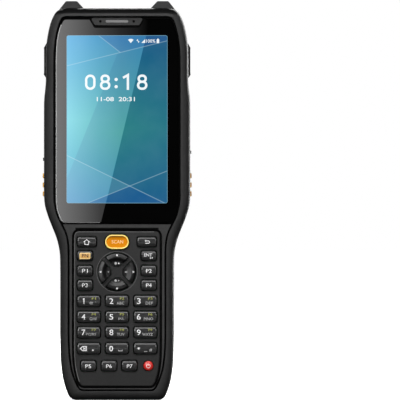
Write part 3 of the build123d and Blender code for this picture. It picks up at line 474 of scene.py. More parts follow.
def metal(name, color, rough=0.3, scale=900, grain=0.2, bevel=0.0001):
    m = Net(name)
    b = m.bsdf
    n = m.noise(scale, 4.0, 0.6, stretch=(1, 1, 0.12))
    col = m.mix(m.maprange(n, 0.3, 0.7, 0.0, 1.0), tuple(c * 0.8 for c in color[:3]) + (1.0,), color)
    m.link(col, b.inputs["Base Color"])
    b.inputs["Metallic"].default_value = 1.0
    m.link(m.maprange(n, 0.3, 0.7, rough, rough + 0.15), b.inputs["Roughness"])
    m.link(m.bump(n, grain, 0.00002, m.bevel(bevel)), b.inputs["Normal"])
    return m.mat


M_SCREW = metal("screw_steel", rgb(120, 120, 120), rough=0.32)
M_STEEL = metal("steel", rgb(170, 170, 170), rough=0.28)
M_BRASS = metal("contact_brass", rgb(214, 176, 92), rough=0.25)
M_FOIL = metal("cell_foil", rgb(176, 178, 182), rough=0.35, scale=300)
M_MESH = metal("mesh_steel", rgb(120, 120, 120), rough=0.4)

put(M_FRAME, "front_frame")
put(M_DECK, "front_deck")
put(M_GLASS, "touch_glass")
put(M_DARK, "display_module", "scan_engine", "earpiece", "volume_rocker", "port_cover")
# the loudspeaker is painted near-black so that its holes in the grille read as shade
put(plastic("speaker_painted_shade", rgb(6, 6, 6), rough=0.6, grain=0.3, spec=0.05, bevel=None), "loudspeaker")
put(M_LATCH, "latch_left", "latch_right")
put(M_PANEL, "keypad_panel")
put(M_BOARD, "dome_board", "main_board")
put(M_HOUSING, "rear_housing")
put(M_CORNER, "corner_bumper_left", "corner_bumper_right")
put(M_SCREW, "case_screws")


def camera_mat():
    m = Net("camera_lens")
    b = m.bsdf
    x, y, z = m.xyz()
    r = radial(m, x, z, 5.7, 160.7)
    n = m.noise(1200, 3.0)
    col = m.ramp(m.maprange(r, 0.0, 0.0024, 0.0, 1.0),
                 [(0.0, rgb(52, 54, 74)), (0.30, rgb(26, 28, 44)), (0.48, rgb(70, 74, 92)), (0.56, rgb(30, 32, 44)),
                  (0.72, rgb(74, 76, 88)), (0.80, rgb(108, 110, 116)), (1.0, rgb(70, 72, 76))])
    # painted highlights: two small bright spots stand for lamp reflections on the lens
    col = m.mix(m.maprange(radial(m, x, z, 4.6, 159.6), 0.00025, 0.0005, 1.0, 0.0, True), col, rgb(225, 228, 234))
    col = m.mix(m.maprange(radial(m, x, z, 5.85, 161.6), 0.0001, 0.00035, 1.0, 0.0, True), col, rgb(190, 196, 226))
    col = m.mix(m.maprange(n, 0.3, 0.7, 0.0, 0.2), col, rgb(40, 42, 52))
    m.link(col, b.inputs["Base Color"])
    b.inputs["Roughness"].default_value = 0.12
    b.inputs["Coat Weight"].default_value = 1.0
    b.inputs["Coat Roughness"].default_value = 0.03
    return m.mat


def scan_glass():
    m = Net("scan_window_smoked")
    b = m.bsdf
    ax = m.xyz()
    x, y, z = ax
    n = m.noise(300, 4.0)
    col = m.mix(m.maprange(n, 0.3, 0.7, 0.0, 1.0), rgb(30, 30, 30), rgb(38, 38, 38))
    col = m.mix(inbox(m, -7.4, 6.4, None, None, 195.9, 199.6, soft=0.0003, axes=ax), col, rgb(50, 50, 50))
    col = m.mix(inbox(m, 7.1, 8.9, None, None, 196.6, 200.4, axes=ax), col, rgb(2, 2, 2))
    r = radial(m, x, z, -7.7, 198.2)
    ring = m.math("MULTIPLY", m.maprange(r, 0.0007, 0.0009, 0.0, 1.0), m.maprange(r, 0.0012, 0.0014, 1.0, 0.0))
    ring = m.math("MULTIPLY", ring, m.maprange(x, -0.0079, -0.0083, 0.0, 1.0))
    col = m.mix(ring, col, rgb(126, 126, 126))
    m.link(col, b.inputs["Base Color"])
    b.inputs["Roughness"].default_value = 0.35
    b.inputs["Specular IOR Level"].default_value = 0.3
    return m.mat


put(M_GLASS, "rear_window_plate")
put(camera_mat(), "camera_module")
put(scan_glass(), "scan_window")
put(M_GRILLE, "grille_cover")
put(M_BATTERY, "battery_case")
put(M_FOIL, "battery_cell")
put(M_BRASS, "battery_contacts")
put(M_SIDE, "side_button_left", "side_button_right")
put(M_STEEL, "port_cover_pin", "usb_socket")
put(M_MESH, "earpiece_mesh")
put(M_NAVKEY, "key_nav_up", "key_nav_left", "key_nav_down", "key_nav_right")

KEY_NAMES = ["key_home", "key_back", "key_fn", "key_ent", "key_p1", "key_p2", "key_p3", "key_p4",
             "key_1", "key_2", "key_3", "key_4", "key_5", "key_6", "key_7", "key_8", "key_9",
             "key_delete", "key_0", "key_star", "key_p5", "key_p6", "key_p7"]
put(M_KEY, *KEY_NAMES)


def scan_extra(m, col):
    x, y, z = m.xyz()
    # painted shadow: the face darkens towards its top edge
    return m.mix(m.maprange(z, 0.0008, 0.0030, 0.0, 0.75, True), col, rgb(96, 52, 0))


M_ORANGE = plastic("scan_orange", rgb(214, 130, 0), rough=0.35, grain=0.1, vary=0.06, spec=0.08, extra=scan_extra)
M_RED = plastic("power_red", rgb(190, 40, 34), rough=0.3, grain=0.1, vary=0.06)


def flash_extra(m, col):
    x, y, z = m.xyz()
    r = radial(m, x, z, -6.1, 160.7)
    return m.ramp(m.maprange(r, 0.0, 0.00235, 0.0, 1.0),
                  [(0.0, rgb(208, 212, 170)), (0.40, rgb(196, 200, 160)), (0.62, rgb(222, 226, 194)),
                   (0.70, rgb(255, 255, 250)), (0.86, rgb(255, 255, 252)), (0.91, rgb(5, 5, 5)), (1.0, rgb(4, 4, 4))])


M_CREAM = plastic("flash_cream", rgb(236, 230, 204), rough=0.3, grain=0.1, vary=0.03, extra=flash_extra)
put(M_ORANGE, "key_scan")
put(M_RED, "key_power")
put(M_CREAM, "flash_lens")


# ============================================================= mesh helpers
def build(name, verts, faces, mats, body, origin=(0, 0, 0), face_mats=None, sharp=38):
    """Mesh piece from points in millimetres round an origin, riding on a CAD body."""
    me = bpy.data.meshes.new(name)
    me.from_pydata([tuple(c * MM for c in v) for v in verts], [], faces)
    for m in mats:
        me.materials.append(m)
    if face_mats:
        me.polygons.foreach_set("material_index", face_mats)
    bm = bmesh.new()
    bm.from_mesh(me)
    bmesh.ops.remove_doubles(bm, verts=bm.verts, dist=1e-7)
    bmesh.ops.dissolve_degenerate(bm, edges=bm.edges, dist=1e-7)
    bmesh.ops.recalc_face_normals(bm, faces=bm.faces)
    for e in bm.edges:
        if len(e.link_faces) == 2:
            e.smooth = e.calc_face_angle(0.0) < math.radians(sharp)
        else:
            e.smooth = False
    for f in bm.faces:
        f.smooth = True
    bm.to_mesh(me)
    bm.free()
    o = bpy.data.objects.new(name, me)
    o.location = Vector(origin) * MM
    scene.collection.objects.link(o)
    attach(o, body)
    return o


def outline(cx, cz, hw, hh, r, arc=7, side=5):
    """Rounded rectangle in X and Z, the same number of points for every size."""
    pts = []
    corners = ((cx + hw - r, cz + hh - r, 0), (cx - hw + r, cz + hh - r, 90),
               (cx - hw + r, cz - hh + r, 180), (cx + hw - r, cz - hh + r, 270))
    for i, (px, pz, a0) in enumerate(corners):
        for k in range(arc + 1):
            a = math.radians(a0 + 90.0 * k / arc)
            pts.append((px + r * math.cos(a), pz + r * math.sin(a)))
        nx, nz, n0 = corners[(i + 1) % 4]
        b = math.radians(n0)
        ex, ez = nx + r * math.cos(b), nz + r * math.sin(b)
        sx, sz = pts[-1]
        for k in range(1, side):
            pts.append((sx + (ex - sx) * k / side, sz + (ez - sz) * k / side))
    return pts


def rings_mesh(rings):
    """Closed skin through rings of equal length, with a fan at either end."""
    n = len(rings[0])
    verts = [p for ring in rings for p in ring]
    faces = []
    for i in range(len(rings) - 1):
        a, b = i * n, (i + 1) * n
        for k in range(n):
            k2 = (k + 1) % n
            faces.append((a + k, a + k2, b + k2, b + k))
    for i in (0, len(rings) - 1):
        c = [sum(p[j] for p in rings[i]) / n for j in range(3)]
        verts.append(tuple(c))
        ci = len(verts) - 1
        for k in range(n):
            faces.append((i * n + k, i * n + (k + 1) % n, ci))
    return verts, faces


def lathe(profile, cx, cz, seg=40):
    """Turned skin round an axis along Y: profile of (radius, y)."""
    verts, faces = [], []
    n = len(profile)
    for k in range(seg):
        a = 2 * math.pi * k / seg
        for r, y in profile:
            verts.append((cx + r * math.cos(a), y, cz + r * math.sin(a)))
    for k in range(seg):
        k2 = (k + 1) % seg
        for i in range(n - 1):
            faces.append((k * n + i, k2 * n + i, k2 * n + i + 1, k * n + i + 1))
    return verts, faces


def stroke(pts, w, closed=False):
    """Flat strip of width w along a line of points: (points, faces)."""
    n = len(pts)
    left, right = [], []
    for i, p in enumerate(pts):
        a = pts[i - 1] if (i > 0 or closed) else None
        b = pts[(i + 1) % n] if (i < n - 1 or closed) else None
        dirs = []
        for u, v in ((a, p), (p, b)):
            if u is None or v is None:
                continue
            dx, dz = v[0] - u[0], v[1] - u[1]
            d = math.hypot(dx, dz)
            dirs.append((-dz / d, dx / d))
        nx, nz = sum(d[0] for d in dirs) / len(dirs), sum(d[1] for d in dirs) / len(dirs)
        q = nx * nx + nz * nz
        nx, nz = nx / q, nz / q
        left.append((p[0] + nx * w / 2, p[1] + nz * w / 2))
        right.append((p[0] - nx * w / 2, p[1] - nz * w / 2))
    verts = left + right
    faces = []
    for i in range(n if closed else n - 1):
        j = (i + 1) % n
        faces.append((i, j, n + j, n + i))
    return verts, faces


def arc_pts(cx, cz, r, a0, a1, n=14):
    return [(cx + r * math.cos(math.radians(a0 + (a1 - a0) * k / n)),
             cz + r * math.sin(math.radians(a0 + (a1 - a0) * k / n))) for k in range(n + 1)]


def shape(pts):
    """Filled flat polygon."""
    return list(pts), [tuple(range(len(pts)))]


_texts = {}


def lettering(text, cx, cz, h, w=None, weight=0.0):
    """Flat text that fills the height h and the width w in millimetres round a centre."""
    key = (text, weight)
    if key not in _texts:
        cu = bpy.data.curves.new("t", "FONT")
        cu.body = text
        cu.resolution_u = 3
        cu.offset = weight
        ob = bpy.data.objects.new("t", cu)
        scene.collection.objects.link(ob)
        bpy.context.view_layer.update()
        me = bpy.data.meshes.new_from_object(ob.evaluated_get(bpy.context.evaluated_depsgraph_get()))
        bm = bmesh.new()
        bm.from_mesh(me)
        bmesh.ops.remove_doubles(bm, verts=bm.verts, dist=1e-5)
        bm.verts.index_update()
        vs = [(v.co.x, v.co.y) for v in bm.verts]
        fs = [tuple(v.index for v in f.verts) for f in bm.faces]
        bm.free()
        bpy.data.objects.remove(ob)
        bpy.data.curves.remove(cu)
        bpy.data.meshes.remove(me)
        _texts[key] = (vs, fs)
    vs, fs = _texts[key]
    x0, x1 = min(v[0] for v in vs), max(v[0] for v in vs)
    z0, z1 = min(v[1] for v in vs), max(v[1] for v in vs)
    kz = h / (z1 - z0)
    kx = (w / (x1 - x0)) if w else kz
    return [(cx + (v[0] - (x0 + x1) / 2) * kx, cz + (v[1] - (z0 + z1) / 2) * kz) for v in vs], fs


def decal(name, flats, mats, body, origin=(0, 0, 0), yfun=None, lift=0.03, depth=0.07,
          cut=None, back=False):
    """Printed or moulded marks, and painted highlights and painted shadows: flat shapes given thickness and laid on
    the surface yfun(x, z).
    flats is a list of ((points, faces), material number)."""
    s = 1.0 if back else -1.0
    me = bpy.data.meshes.new(name)
    bm = bmesh.new()
    for (vs, fs), mi in flats:
        bv = [bm.verts.new((x, 0.0, z)) for x, z in vs]
        for f in fs:
            if len(set(f)) < 3:
                continue
            try:
                face = bm.faces.new([bv[i] for i in f])
                face.material_index = mi
            except ValueError:
                pass
    bmesh.ops.triangulate(bm, faces=[f for f in bm.faces if len(f.verts) > 4])
    if cut:
        zs = [v.co.z for v in bm.verts]
        z = min(zs) + cut
        while z < max(zs):
            bmesh.ops.bisect_plane(bm, geom=list(bm.verts) + list(bm.edges) + list(bm.faces),
                                   dist=1e-6, plane_co=(0, 0, z), plane_no=(0, 0, 1))
            z += cut
    # all faces look outwards, then the sheet is doubled and closed at its edges
    for f in bm.faces:
        f.normal_update()
        if f.normal.y * s < 0:
            f.normal_flip()
    top_faces = list(bm.faces)
    res = bmesh.ops.extrude_face_region(bm, geom=top_faces, use_keep_orig=True)
    new_verts = {v for v in res["geom"] if isinstance(v, bmesh.types.BMVert)}
    for v in bm.verts:
        x, z = v.co.x, v.co.z
        y = yfun(x, z) if yfun else 0.0
        v.co.y = y + s * lift - (s * depth if v not in new_verts else 0.0)
    bmesh.ops.recalc_face_normals(bm, faces=bm.faces)
    for v in bm.verts:
        v.co = v.co * MM
    bm.to_mesh(me)
    bm.free()
    for m in mats:
        me.materials.append(m)
    o = bpy.data.objects.new(name, me)
    o.location = Vector(origin) * MM
    scene.collection.objects.link(o)
    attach(o, body)
    return o


# ====================================================================== keys
def ink(name, color, rough=0.4):
    m = Net(name)
    n = m.noise(2200, 2.0)
    col = m.mix(m.maprange(n, 0.3, 0.7, 0.0, 1.0), tuple(c * 0.9 for c in color[:3]) + (1.0,), color)
    m.link(col, m.bsdf.inputs["Base Color"])
    m.link(m.maprange(n, 0.3, 0.7, rough, rough + 0.1), m.bsdf.inputs["Roughness"])
    return m.mat


INK_WHITE = ink("ink_white", rgb(232, 232, 232))
INK_GREY = ink("ink_grey", rgb(176, 176, 176))
INK_DIM = ink("ink_dim", rgb(120, 120, 120))
INK_GREEN = ink("ink_yellow_green", rgb(150, 152, 52))
INK_GOLD = ink("ink_gold", rgb(206, 154, 76))
INK_BROWN = ink("ink_brown", rgb(44, 20, 2))

KEY_BACK = -12.95
PLATEAU = -16.8


def face_y(hh):
    """Depth of a key's face at height z round its centre: the upper part leans back."""
    def f(x, z):
        t = max(0.0, (z + 0.1 * hh) / hh)
        u = max(0.0, (-z - 0.35 * hh) / hh)
        return PLATEAU + 0.42 * t * t + 0.25 * u * u
    return f


def key_cap(node, cx, cz, w, h, r):
    hw, hh = w / 2, h / 2
    f = face_y(hh)
    top, side, bot = 0.95, 0.42, 0.28
    outer = outline(0, 0, hw, hh, r)
    inner = outline(0, (bot - top) / 2, hw - side, hh - (top + bot) / 2, max(0.35, r - 0.35))
    rings = [[(x, KEY_BACK, z) for x, z in outer]]

    def ring(s, drop):
        out = []
        for (x0, z0), (x1, z1) in zip(outer, inner):
            x, z = x0 + (x1 - x0) * s, z0 + (z1 - z0) * s
            out.append((x, f(x1, z1) + drop, z))
        return out

    rings.append(ring(0.0, 0.78))
    rings.append(ring(0.03, 0.66))
    rings.append(ring(0.12, 0.56))
    rings.append(ring(0.45, 0.33))
    rings.append(ring(0.78, 0.12))
    rings.append(ring(0.92, 0.035))
    rings.append(ring(1.0, 0.0))
    zc = (bot - top) / 2
    for k in (0.9, 0.75, 0.6, 0.45, 0.3, 0.15, 0.04):
        out = []
        for x1, z1 in inner:
            x, z = x1 * k, zc + (z1 - zc) * k
            out.append((x, f(x, z), z))
        rings.append(out)
    verts, faces = rings_mesh(rings)
    o = build(node + "_cap", verts, faces, [M_KEY], node, origin=(cx, 0, cz))
    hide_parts(node)
    return f


DIGIT_H, LET_H, FUN_H = 2.9, 1.4, 1.2


def digit_key(node, cx, cz, w, h, r, d, letters, fn, dx, lx, lw):
    f = key_cap(node, cx, cz, w, h, r)
    if d == "1":
        z0, z1 = -0.1 - DIGIT_H / 2, -0.1 + DIGIT_H / 2
        flats = [(stroke([(dx - 0.5, z1 - 0.62), (dx + 0.12, z1 - 0.2), (dx + 0.12, z0)], 0.42), 0)]
    else:
        flats = [(lettering(d, dx, -0.1, DIGIT_H, 1.95, 0.003), 0)]
    if letters:
        flats.append((lettering(letters, lx, -1.12, LET_H, lw), 1))
    if fn:
        flats.append((lettering(fn, 2.6, 1.2, FUN_H, 2.1), 2))
    decal(node + "_legend", flats, [INK_WHITE, INK_GREY, INK_GREEN], node, (cx, 0, cz), f, cut=0.4)


DIG = [
    ("key_1", -14.5, 51.1, "1", "@  '", "F1", -2.6, 2.0, 3.4), ("key_2", 0.0, 51.1, "2", "ABC", "F2", -2.9, 1.8, 3.9),
    ("key_3", 14.6, 51.1, "3", "DEF", "F3", -3.4, 2.0, 3.7), ("key_4", -14.5, 43.0, "4", "GHI", "F4", -2.75, 2.1, 3.4),
    ("key_5", 0.0, 43.0, "5", "JKL", "F5", -2.9, 2.1, 3.2), ("key_6", 14.6, 43.0, "6", "MNO", "F6", -3.4, 1.6, 4.8),
    ("key_7", -14.5, 35.0, "7", "PQRS", "F7", -2.75, 1.2, 5.2), ("key_8", 0.0, 35.0, "8", "TUV", "F8", -2.9, 1.9, 3.8),
    ("key_9", 14.6, 35.0, "9", "WXYZ", "F9", -3.4, 1.1, 5.4),
]
for node, cx, cz, d, letters, fn, dx, lx, lw in DIG:
    digit_key(node, cx, cz, 12.2, 6.0, 1.3, d, letters, fn, dx, lx, lw)

# delete, zero and star keys
f = key_cap("key_delete", -14.5, 26.8, 12.2, 6.0, 1.3)
tag = stroke([(-4.3, -0.2), (-3.3, 0.85), (-1.15, 0.85), (-1.15, -1.25), (-3.3, -1.25)], 0.42, True)
decal("key_delete_legend",
      [(tag, 0), (stroke([(-2.85, 0.3), (-2.25, -0.2), (-2.85, -0.7)], 0.38), 0),
       (stroke([(-1.65, 0.3), (-2.05, -0.2), (-1.65, -0.7)], 0.38), 0),
       (shape([(1.75, -0.7), (2.45, -0.7), (2.45, -1.4), (1.75, -1.4)]), 0)],
      [INK_WHITE], "key_delete", (-14.5, 0, 26.8), f, cut=0.4)
f = key_cap("key_0", 0.0, 26.8, 12.2, 6.0, 1.3)
decal("key_0_legend",
      [(lettering("0", -3.0, -0.2, DIGIT_H, 1.95, 0.012), 0),
       (stroke([(0.75, -0.85), (0.75, -1.35), (2.65, -1.35), (2.65, -0.85)], 0.34), 1)],
      [INK_WHITE, INK_GREY], "key_0", (0, 0, 26.8), f, cut=0.4)
f = key_cap("key_star", 14.6, 26.8, 12.2, 6.0, 1.3)
decal("key_star_legend",
      [(lettering("*", -3.4, -0.1, 1.25, 1.3, 0.02), 0),
       (shape([(-0.7, -1.55), (0.95, -1.55), (0.95, -1.85), (-0.7, -1.85)]), 1),
       (lettering("#", 2.7, -1.0, 1.55, 1.5), 1)],
      [INK_WHITE, INK_GREY], "key_star", (14.6, 0, 26.8), f, cut=0.4)

# program keys
for node, cx, cz, h, t, dx, dz in (
        ("key_p1", -16.5, 66.7, 5.6, "P1", 0.0, -0.15), ("key_p2", 16.4, 66.7, 5.6, "P2", 0.0, -0.15),
        ("key_p3", -16.5, 59.3, 5.6, "P3", 0.0, -0.15), ("key_p4", 16.4, 59.3, 5.6, "P4", 0.0, -0.15),
        ("key_p5", -14.7, 17.8, 5.5, "P5", -0.1, -0.3), ("key_p6", -4.1, 17.8, 5.5, "P6", 0.0, -0.3),
        ("key_p7", 6.4, 17.8, 5.5, "P7", 0.1, -0.3)):
    f = key_cap(node, cx, cz, 8.2, h, 1.2)
    decal(node + "_legend", [(lettering(t, dx, dz, 1.9, 2.9), 0)], [INK_WHITE], node,
          (cx, 0, cz), f, cut=0.4)

# home key
f = key_cap("key_home", -15.5, 81.55, 10.2, 5.4, 1.2)
decal("key_home_legend",
      [(stroke([(-0.1, 1.05), (1.3, -0.05), (0.85, -0.1), (0.85, -1.4), (-1.05, -1.4), (-1.05, -0.1),
                (-1.5, -0.05)], 0.36, True), 0)],
      [INK_WHITE], "key_home", (-15.5, 0, 81.55), f, cut=0.4)
# back key
f = key_cap("key_back", 15.35, 81.55, 10.2, 5.4, 1.2)
hook = [(-0.35, 0.42), (0.6, 0.42)] + arc_pts(0.75, -0.2, 0.62, 75, -80, 8) + [(-0.75, -0.84)]
decal("key_back_legend",
      [(stroke(hook, 0.36), 0), (shape([(-1.15, 0.42), (-0.35, 1.0), (-0.35, -0.16)]), 0)],
      [INK_WHITE], "key_back", (15.35, 0, 81.55), f, cut=0.4)
# fn key: a gold patch with a dark legend
f = key_cap("key_fn", -16.5, 74.4, 8.2, 5.3, 1.2)
patch = outline(0.0, -0.15, 2.8, 1.62, 0.45, 4, 3)
decal("key_fn_patch", [(shape(patch), 0)], [INK_GOLD], "key_fn", (-16.5, 0, 74.4), f, lift=0.025, cut=0.4)
INK_STRAW = ink("ink_straw", rgb(244, 214, 146))
decal("key_fn_rim", [(stroke(outline(0.0, -0.15, 2.6, 1.42, 0.4, 4, 3), 0.34, True), 0)], [INK_STRAW], "key_fn",
      (-16.5, 0, 74.4), f, lift=0.04, depth=0.04, cut=0.4)
decal("key_fn_legend", [(lettering("FN", 0.1, -0.05, 1.7, 3.1, 0.012), 0)], [INK_BROWN], "key_fn",
      (-16.5, 0, 74.4), f, lift=0.05, depth=0.04, cut=0.4)
# enter key
f = key_cap("key_ent", 16.4, 74.4, 8.2, 5.3, 1.2)
decal("key_ent_legend",
      [(lettering("ENT", -0.4, 0.3, 1.6, 4.1, 0.01), 0),
       (stroke([(1.85, -0.75), (1.85, -1.25), (0.95, -1.25)], 0.3), 0),
       (shape([(0.35, -1.25), (0.95, -0.8), (0.95, -1.7)]), 0)],
      [INK_WHITE], "key_ent", (16.4, 0, 74.4), f, cut=0.4)

# scan key: stadium with a raised rim and a dished face; the rim is a lighter copy of the orange as painted highlight,
# the skirt a dark copy as painted shade
M_ORANGE_RIM = plastic("scan_rim", rgb(255, 222, 118), rough=0.3, grain=0.08, vary=0.04, bevel=None)
M_ORANGE_SKIRT = plastic("scan_skirt", rgb(34, 20, 3), rough=0.5, grain=0.08, spec=0.05, bevel=None)
hw, hh = 6.4, 3.95


def scan_ring(inset, y):
    return [(x, y, z) for x, z in outline(0, 0, hw - inset, hh - inset, hh - inset - 0.01, 10, 5)]


def scan_face(x, z):
    a, b = hw - 1.0, hh - 1.0
    px = max(0.0, abs(x) - (a - b))
    q = min(1.0, math.hypot(px, z) / b)
    return -16.42 - 0.18 * (q ** 4) * 0.0 + 0.10 * (1.0 - q * q)


rings = [scan_ring(0.0, KEY_BACK), scan_ring(0.0, -16.05), scan_ring(0.08, -16.35), scan_ring(0.28, -16.62),
         scan_ring(0.55, -16.78), scan_ring(0.78, -16.76), scan_ring(0.98, -16.6), scan_ring(1.12, -16.42)]
rim_count = (len(rings) - 1) * len(rings[0])
skirt_count = 3 * len(rings[0])
for k in (0.85, 0.65, 0.45, 0.25, 0.08):
    rings.append([(x * k, scan_face(x * k, z * k), z * k)
                  for x, z in outline(0, 0, hw - 1.12, hh - 1.12, hh - 1.13, 10, 5)])
verts, faces = rings_mesh(rings)
fm_scan = [2 if i < skirt_count else 1 if i < rim_count - len(rings[0]) else 0 for i in range(len(faces))]
o = build("key_scan_cap", verts, faces, [M_ORANGE, M_ORANGE_RIM, M_ORANGE_SKIRT], "key_scan", (0, 0, 81.45),
          face_mats=fm_scan)
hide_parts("key_scan")
INK_PEACH = ink("ink_peach", rgb(255, 222, 168))
decal("key_scan_legend", [(lettering("SCAN", 0.2, 0.05, 1.7, 5.9), 0)], [INK_PEACH], "key_scan",
      (0, 0, 81.45), scan_face, cut=0.4)

# power key: red dome with a white sign
def power_face(x, z):
    return -16.85 + 0.45 * min(1.0, (x * x + z * z) / 5.2)


prof = [(0.02, -16.85)]
for r in (0.4, 0.8, 1.2, 1.6, 2.0, 2.25):
    prof.append((r, power_face(r, 0)))
prof += [(2.42, -16.2), (2.5, -15.95), (2.5, KEY_BACK), (0.02, KEY_BACK)]
verts, faces = lathe(prof, 0, 0, 48)
c0, c1 = len(verts), len(verts) + 1
verts += [(0, -16.85, 0), (0, KEY_BACK, 0)]
npr = len(prof)
for k in range(48):
    k2 = (k + 1) % 48
    faces.append((k * npr, k2 * npr, c0))
    faces.append((k * npr + npr - 1, k2 * npr + npr - 1, c1))
o = build("key_power_cap", verts, faces, [M_RED], "key_power", (16.1, 0, 17.7))
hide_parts("key_power")
INK_PINK = ink("ink_pink", rgb(240, 214, 212))
decal("key_power_legend",
      [(stroke(arc_pts(0, -0.1, 0.95, 125, 415, 20), 0.32), 0), (stroke([(0, 0.15), (0, 1.15)], 0.34), 0)],
      [INK_PINK], "key_power", (16.1, 0, 17.7), power_face, lift=0.03, cut=0.4)

# navigation pad: four wedges with a ridge at mid radius and a dished middle
NAVZ = 66.0
NAV_PROFILE = [(3.0, -16.02), (5.4, -16.02), (5.9, -16.2), (6.9, -16.72), (7.3, -16.92), (7.55, -16.98),
               (7.8, -16.95), (8.4, -16.84), (9.0, -16.68), (9.4, -16.5), (9.6, -16.3), (9.7, -16.05)]


def nav_y(x, z):
    r = math.hypot(x, z)
    p = NAV_PROFILE
    if r <= p[0][0]:
        return p[0][1]
    for (r0, y0), (r1, y1) in zip(p, p[1:]):
        if r <= r1:
            return y0 + (y1 - y0) * (r - r0) / (r1 - r0)
    return p[-1][1]


def nav_wedge(node, turn_deg):
    rows = ["chord", "chord2", 4.2, 4.8, 5.4, 5.65, 5.9, 6.4, 6.9, 7.3, 7.55, 7.8, 8.1, 8.4, 8.7, 9.0, 9.2,
            9.4, 9.5, 9.6, 9.7]
    cols = [-1.0, -0.955, -0.8, -0.6, -0.4, -0.2, 0.0, 0.2, 0.4, 0.6, 0.8, 0.955, 1.0]
    grid = []
    for row in rows:
        line = []
        for u in cols:
            if row in ("chord", "chord2"):
                z = 3.1 if row == "chord" else 3.32
                half = z - 1.25 * math.sqrt(2)
                x = u * half
            else:
                half = math.radians(45) - math.asin(1.25 / row)
                x, z = row * math.sin(u * half), row * math.cos(u * half)
            y = nav_y(x, z)
            if abs(u) == 1.0 or row == "chord":
                y += 0.24
            line.append((x, y, z))
        grid.append(line)
    nr, nc = len(rows), len(cols)
    t = math.radians(turn_deg)

    def spin(p):
        x, y, z = p
        return (x * math.cos(t) - z * math.sin(t), y, x * math.sin(t) + z * math.cos(t))

    verts = [spin(p) for line in grid for p in line]
    verts += [spin((p[0], KEY_BACK, p[2])) for line in grid for p in line]
    off = nr * nc
    faces = []
    for i in range(nr - 1):
        for j in range(nc - 1):
            a, b, c, d = i * nc + j, i * nc + j + 1, (i + 1) * nc + j + 1, (i + 1) * nc + j
            faces.append((a, b, c, d))
            faces.append((off + a, off + d, off + c, off + b))
    for i in range(nr - 1):
        for j in (0, nc - 1):
            a, b = i * nc + j, (i + 1) * nc + j
            faces.append((a, b, off + b, off + a))
    for j in range(nc - 1):
        for i in (0, nr - 1):
            a, b = i * nc + j, i * nc + j + 1
            faces.append((a, b, off + b, off + a))
    o = build(node + "_wedge", verts, faces, [M_NAVKEY], node, (0, 0, NAVZ))
    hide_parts(node)


for node, a in (("key_nav_up", 0), ("key_nav_left", 90), ("key_nav_down", 180), ("key_nav_right", -90)):
    nav_wedge(node, a)

for node, a in (("key_nav_up", 90), ("key_nav_down", 270), ("key_nav_left", 180), ("key_nav_right", 0)):
    ca, sa = math.cos(math.radians(a)), math.sin(math.radians(a))
    cx, cz = 8.55 * ca, 8.55 * sa

    def turn(pts, ca=ca, sa=sa):
        return [(x * ca - z * sa, x * sa + z * ca) for x, z in pts]

    if node in ("key_nav_up", "key_nav_down"):
        mark = [(8.1, -0.42), (8.95, -0.42), (8.95, 0.42), (8.1, 0.42)]
    else:
        mark = [(8.05, -0.6), (9.1, 0.0), (8.05, 0.6)]
    flats = [(shape(turn(mark)), 0)]
    if node in ("key_nav_up", "key_nav_down"):
        zc = 4.45 if node == "key_nav_up" else -4.45
        flats += [(shape(arc_pts(-0.7, zc, 0.62, 0, 342, 19)), 1),
                  (shape(arc_pts(0.85, zc, 0.36, 0, 342, 19)), 1 if node == "key_nav_down" else 0)]
    elif node == "key_nav_left":
        flats += [(shape([(-4.95, 0.0), (-4.1, 0.6), (-4.1, -0.6)]), 2)]
    else:
        flats += [(shape([(3.85, 0.0), (4.7, 0.6), (4.7, -0.6)]), 1), (shape([(4.9, 0.55), (5.2, 0.55), (5.2, -0.55), (4.9, -0.55)]), 1)]
    decal(node + "_mark", flats, [INK_WHITE, INK_GREY, INK_DIM], node, (0, 0, NAVZ), nav_y, lift=0.03)

# ================================================================= rear pieces
M_YELLOW = Net("band_yellow")
_n = M_YELLOW.noise(260, 3.0)
M_YELLOW.link(M_YELLOW.mix(M_YELLOW.maprange(_n, 0.3, 0.7, 0.0, 1.0), rgb(238, 206, 20), rgb(246, 220, 30)),
              M_YELLOW.bsdf.inputs["Base Color"])
M_YELLOW.bsdf.inputs["Roughness"].default_value = 0.0
M_YELLOW = M_YELLOW.mat
M_YELLOW_EDGE = Net("band_yellow_edge")
_n = M_YELLOW_EDGE.noise(260, 3.0)
M_YELLOW_EDGE.link(M_YELLOW_EDGE.mix(M_YELLOW_EDGE.maprange(_n, 0.3, 0.7, 0.0, 1.0), rgb(255, 240, 76),
                                     rgb(255, 246, 96)), M_YELLOW_EDGE.bsdf.inputs["Base Color"])
M_YELLOW_EDGE.bsdf.inputs["Roughness"].default_value = 0.0
M_YELLOW_EDGE = M_YELLOW_EDGE.mat

PLATE_Y = 15.1


def band_outline(hw, z0, z1, r):
    return [(-hw, z0), (hw, z0)] + arc_pts(hw - r, z1 - r, r, 0, 90, 8) + arc_pts(-hw + r, z1 - r, r, 90, 180, 8)


decal("rear_band_edge", [(shape(band_outline(15.25, 181.0, 193.05, 3.3)), 0)], [M_YELLOW_EDGE], "housing",
      yfun=lambda x, z: PLATE_Y, lift=0.03, depth=0.05, back=True)
decal("rear_band", [(shape(band_outline(14.6, 181.75, 192.4, 2.7)), 0)], [M_YELLOW], "housing",
      yfun=lambda x, z: PLATE_Y, lift=0.05, depth=0.05, back=True)

# screws: a steel flat ring on top and a deep hexagon socket; the rest of the head and the socket are painted
# near-black as shade of the counterbore and socket
M_SCREW_DARK = plastic("screw_painted_shade", rgb(3, 3, 3), rough=0.5, grain=0.2, spec=0.1, bevel=None)
M_SCREW_RING = metal("screw_ring", rgb(120, 120, 120), rough=0.5)


